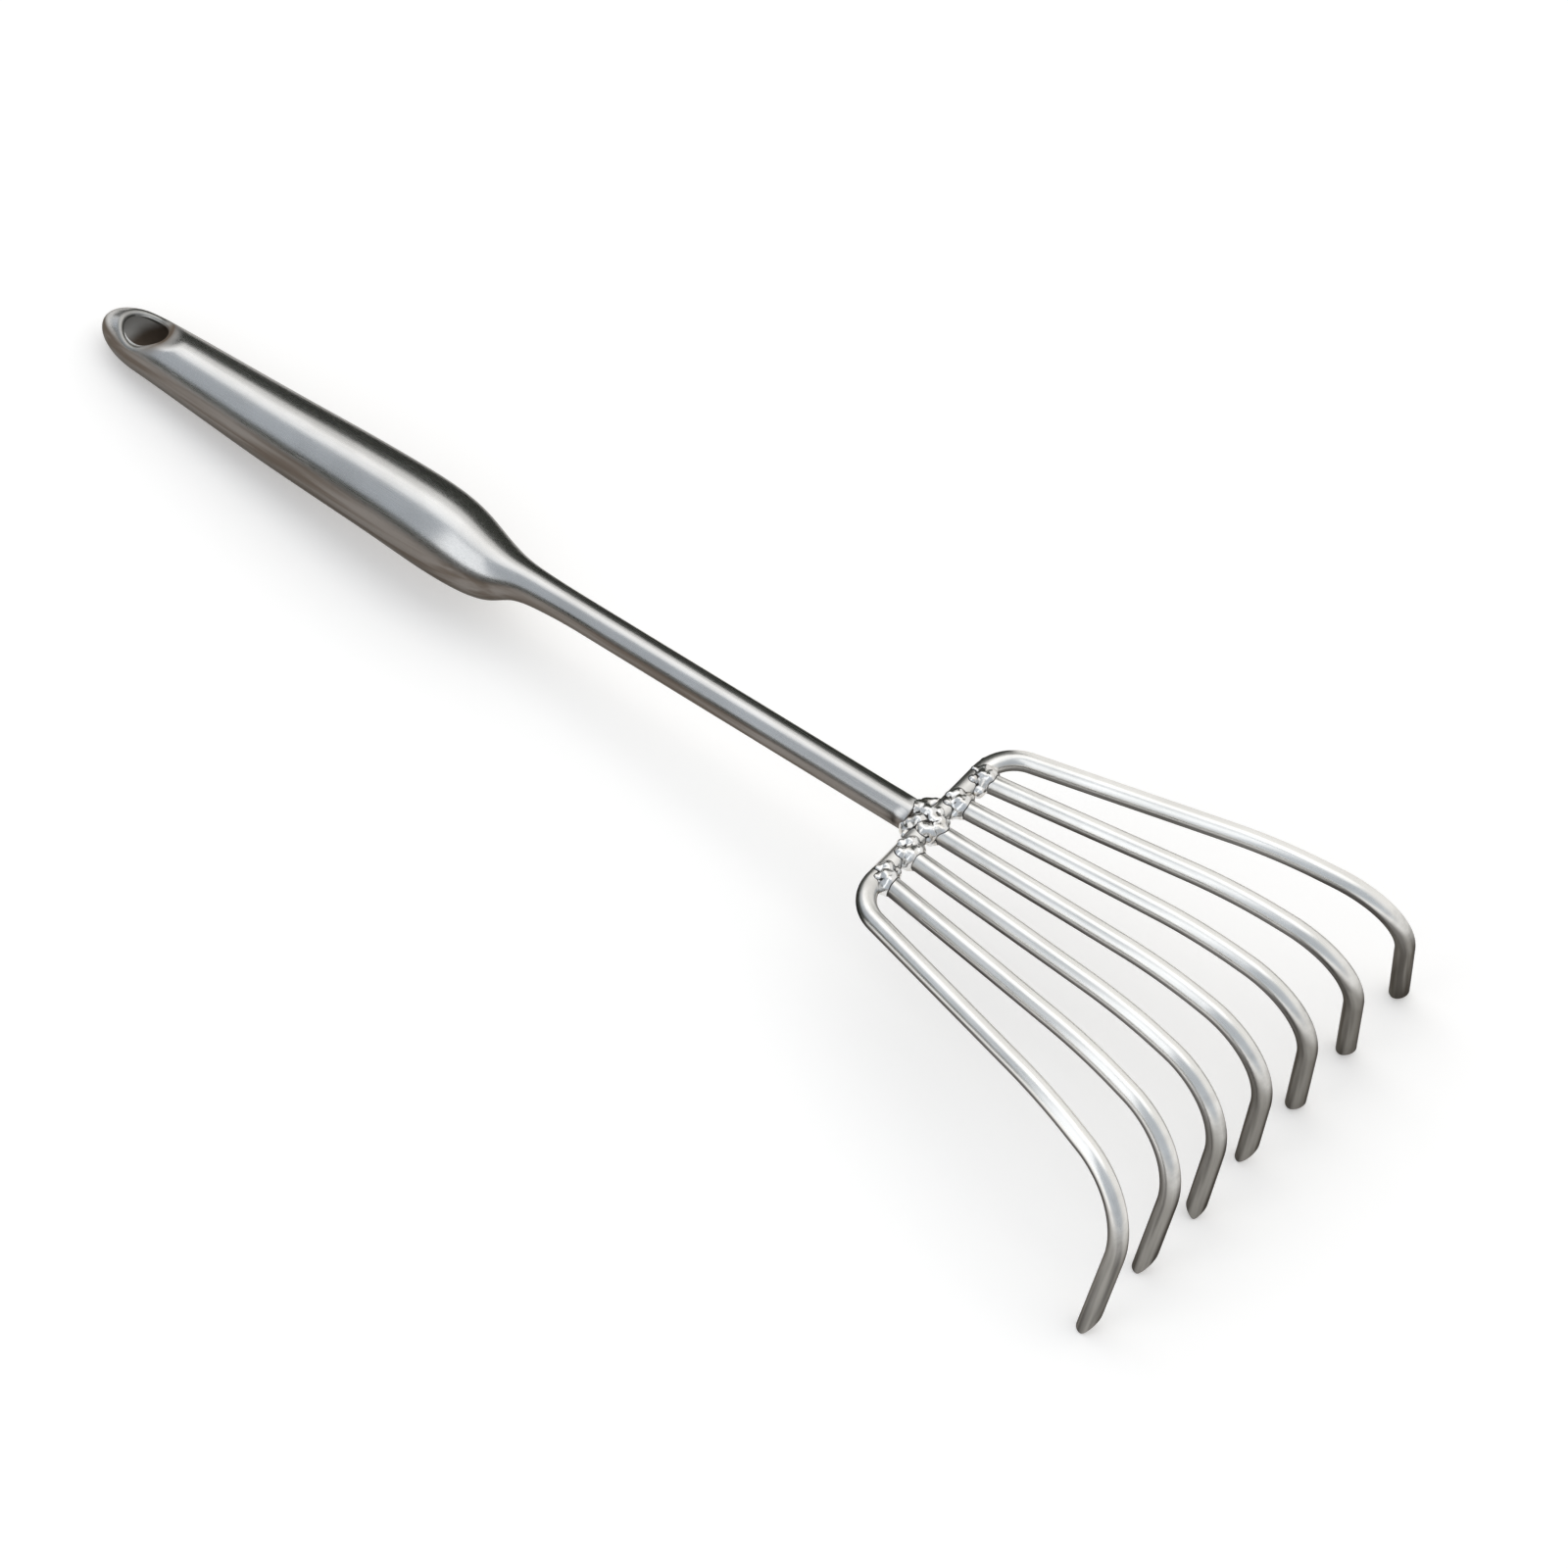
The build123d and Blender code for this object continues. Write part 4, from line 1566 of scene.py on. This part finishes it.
@dataclass
class Studio:
    """Pale floor, soft light, dark flags beside the rake, and the camera, in metres.

    A flag has a name, the places of its two ends on the floor and its height at each end. A lamp has a name,
    a place, its width and height, its power in watts and the point that it lights.
    """

    floor_colour: tuple = (0.85, 0.84, 0.825)
    floor_glow: tuple = (0.27, 0.26, 0.25)
    floor_radius: float = 4.0
    floor_drop: float = 0.0001
    floor_sides: int = 96
    flag_colour: tuple = (0.040, 0.043, 0.032)
    matt_rough: float = 0.9
    matt_gloss: float = 0.1
    near_sky: tuple = (0.515, 0.56, 0.615)
    far_sky: tuple = (0.96, 0.96, 0.95)
    sky_range: tuple = (-0.3, 0.5)
    flags: tuple = (
        ("far_flag", ((-0.30, 0.06), (0.068, 0.06)), (0.068, 0.103)),
        ("near_flag", ((-1.10, -0.25), (0.0, -0.25)), (0.11, 0.11)),
        ("near_cross_flag", ((0.072, -0.055), (0.072, -0.014)), (0.047, 0.047)),
        ("far_cross_flag", ((0.070, 0.008), (0.070, 0.060)), (0.047, 0.047)),
        ("rear_flag", ((-1.15, 0.20), (-0.75, 0.90)), (0.34, 0.34)),
    )
    lamps: tuple = (
        ("overhead_softbox", (-0.55, 0.16, 1.15), (2.6, 0.75), 4.0, (-0.55, 0.0, 0.0)),
        ("tine_softbox", (0.02, -0.42, 0.34), (0.26, 0.80), 0.53, (0.15, 0.0, 0.03)),
    )
    camera_place: tuple = (0.72711, -1.25146, 2.10323)
    camera_right: tuple = (0.779841, 0.615825, 0.112281)
    camera_down: tuple = (0.563740, -0.612943, -0.553623)
    camera_ahead: tuple = (-0.272113, 0.495035, -0.825164)
    picture: float = 1600.0
    focal_pixels: float = 9425.0
    sensor: float = 36.0

    def matt(self, name: str, colour: tuple) -> Material:
        """Makes a matt material.

        Args:
            name: The material's name.
            colour: Its colour.

        Returns:
            The material.
        """
        made = bpy.data.materials.new(name)
        made.use_nodes = True
        surface = made.node_tree.nodes["Principled BSDF"]
        surface.inputs["Base Color"].default_value = (*colour, 1)
        surface.inputs["Roughness"].default_value = self.matt_rough
        surface.inputs["Specular IOR Level"].default_value = self.matt_gloss
        return made

    def floor(self) -> None:
        """Lays a wide round floor just under the tips, white in the picture and in reflections."""
        mesh = bpy.data.meshes.new("floor")
        work = bmesh.new()
        bmesh.ops.create_circle(work, cap_ends=True, segments=self.floor_sides, radius=self.floor_radius)
        bmesh.ops.translate(work, verts=work.verts[:], vec=(0, 0, -self.floor_drop))
        work.to_mesh(mesh)
        work.free()
        pale = self.matt("Pale floor", self.floor_colour)
        wiring = Wiring(pale.node_tree)
        rays = wiring.node("ShaderNodeLightPath").outputs
        seen = wiring.math("MAXIMUM", rays["Is Camera Ray"], rays["Is Glossy Ray"])
        seen = wiring.math("MAXIMUM", seen, rays["Is Transmission Ray"])
        surface = pale.node_tree.nodes["Principled BSDF"]
        surface.inputs["Emission Color"].default_value = (*self.floor_glow, 1)
        wiring.feed(surface.inputs["Emission Strength"], seen)
        made = link_object("floor", mesh)
        made.data.materials.append(pale)

    def flag(self, name: str, ends: tuple, heights: tuple, material: Material) -> None:
        """Stands an upright flag on the floor that only reflections show.

        Args:
            name: The flag's name.
            ends: Where its two ends stand on the floor.
            heights: Its height at each end.
            material: Its material.
        """
        corners = [(*ends[0], 0.0), (*ends[1], 0.0), (*ends[1], heights[1]), (*ends[0], heights[0])]
        mesh = bpy.data.meshes.new(name)
        mesh.from_pydata(corners, [], [(0, 1, 2, 3)])
        made = link_object(name, mesh)
        made.data.materials.append(material)
        made.visible_camera = False
        made.visible_diffuse = False
        made.visible_shadow = False

    def lamp(self, name: str, place: tuple, size: tuple, power: float, aim: tuple) -> None:
        """Hangs a soft lamp that points at the rake.

        Args:
            name: The lamp's name.
            place: Where it hangs.
            size: Its width and height.
            power: Its power in watts.
            aim: The point that it lights.
        """
        light = bpy.data.lights.new(name, "AREA")
        light.shape = "RECTANGLE"
        light.size, light.size_y = size
        light.energy = power
        made = link_object(name, light)
        made.location = place
        made.rotation_euler = (Vector(aim) - Vector(place)).to_track_quat("-Z", "Y").to_euler()

    def sky(self) -> None:
        """Makes soft light from all round, paler on the far side."""
        world = bpy.data.worlds.new("Soft room")
        bpy.context.scene.world = world
        world.use_nodes = True
        world.node_tree.nodes.clear()
        wiring = Wiring(world.node_tree)
        way = wiring.out("ShaderNodeTexCoord", socket="Generated")
        depth = wiring.out("ShaderNodeSeparateXYZ", {0: way}, "Y")
        tone = wiring.mix(wiring.ramp(depth, *self.sky_range), self.near_sky, self.far_sky)
        light = wiring.out("ShaderNodeBackground", {"Color": tone, "Strength": 1.0})
        wiring.node("ShaderNodeOutputWorld", {"Surface": light})

    def camera(self) -> None:
        """Places the camera above and behind the rake's right side."""
        lens = bpy.data.cameras.new("camera")
        lens.sensor_width = self.sensor
        lens.lens = self.focal_pixels / self.picture * self.sensor
        made = link_object("camera", lens)
        axes = (Vector(self.camera_right), -Vector(self.camera_down), -Vector(self.camera_ahead))
        turn = Matrix(axes).transposed().to_4x4()
        made.matrix_world = Matrix.Translation(self.camera_place) @ turn
        bpy.context.scene.camera = made

    def build(self) -> None:
        """Sets everything up around the rake."""
        bpy.context.scene.view_settings.view_transform = "Standard"
        self.floor()
        self.sky()
        dark = self.matt("Dark card", self.flag_colour)
        for name, ends, heights in self.flags:
            self.flag(name, ends, heights, dark)
        for lamp in self.lamps:
            self.lamp(*lamp)
        self.camera()


def main() -> None:
    """Builds the rake's pieces in order and sets up the studio."""
    logging.basicConfig(level=logging.INFO, format="%(name)s: %(message)s")
    groups = SurfaceGroups()
    grip_steel = SteelFinish("Grip steel", hollow=True).material(groups)
    tine_steel = SteelFinish(
        # The tines' steel is painted paler than the grip's: a painted highlight for the brighter light on
        # the tines
        "Tine steel",
        colour=(0.860, 0.845, 0.815),
        shade=(0.780, 0.765, 0.735),
        edge=(0.800, 0.790, 0.770),
        roughness=0.25,
        # Painted shade on the tines' undersides, darkest at their lower edges
        painted_underside=(0.060, 0.054, 0.049),
        painted_underside_edge=(0.200, 0.190, 0.180),
        painted_underside_top=0.42,
        painted_underside_bottom=0.10,
        painted_underside_cover=0.94,
        # A painted reflection of dark ground on the tines' legs
        painted_leg_reflection_cover=0.84,
    ).material(groups)
    weld_steel = WeldFinish().material(groups)
    tube = HandleTube()
    head = TineHead()
    tube.build(grip_steel)
    head.build(RodBender(), tine_steel)
    WeldBeads(head, tube).build(weld_steel)
    Studio().build()


if __name__ == "__main__":
    main()
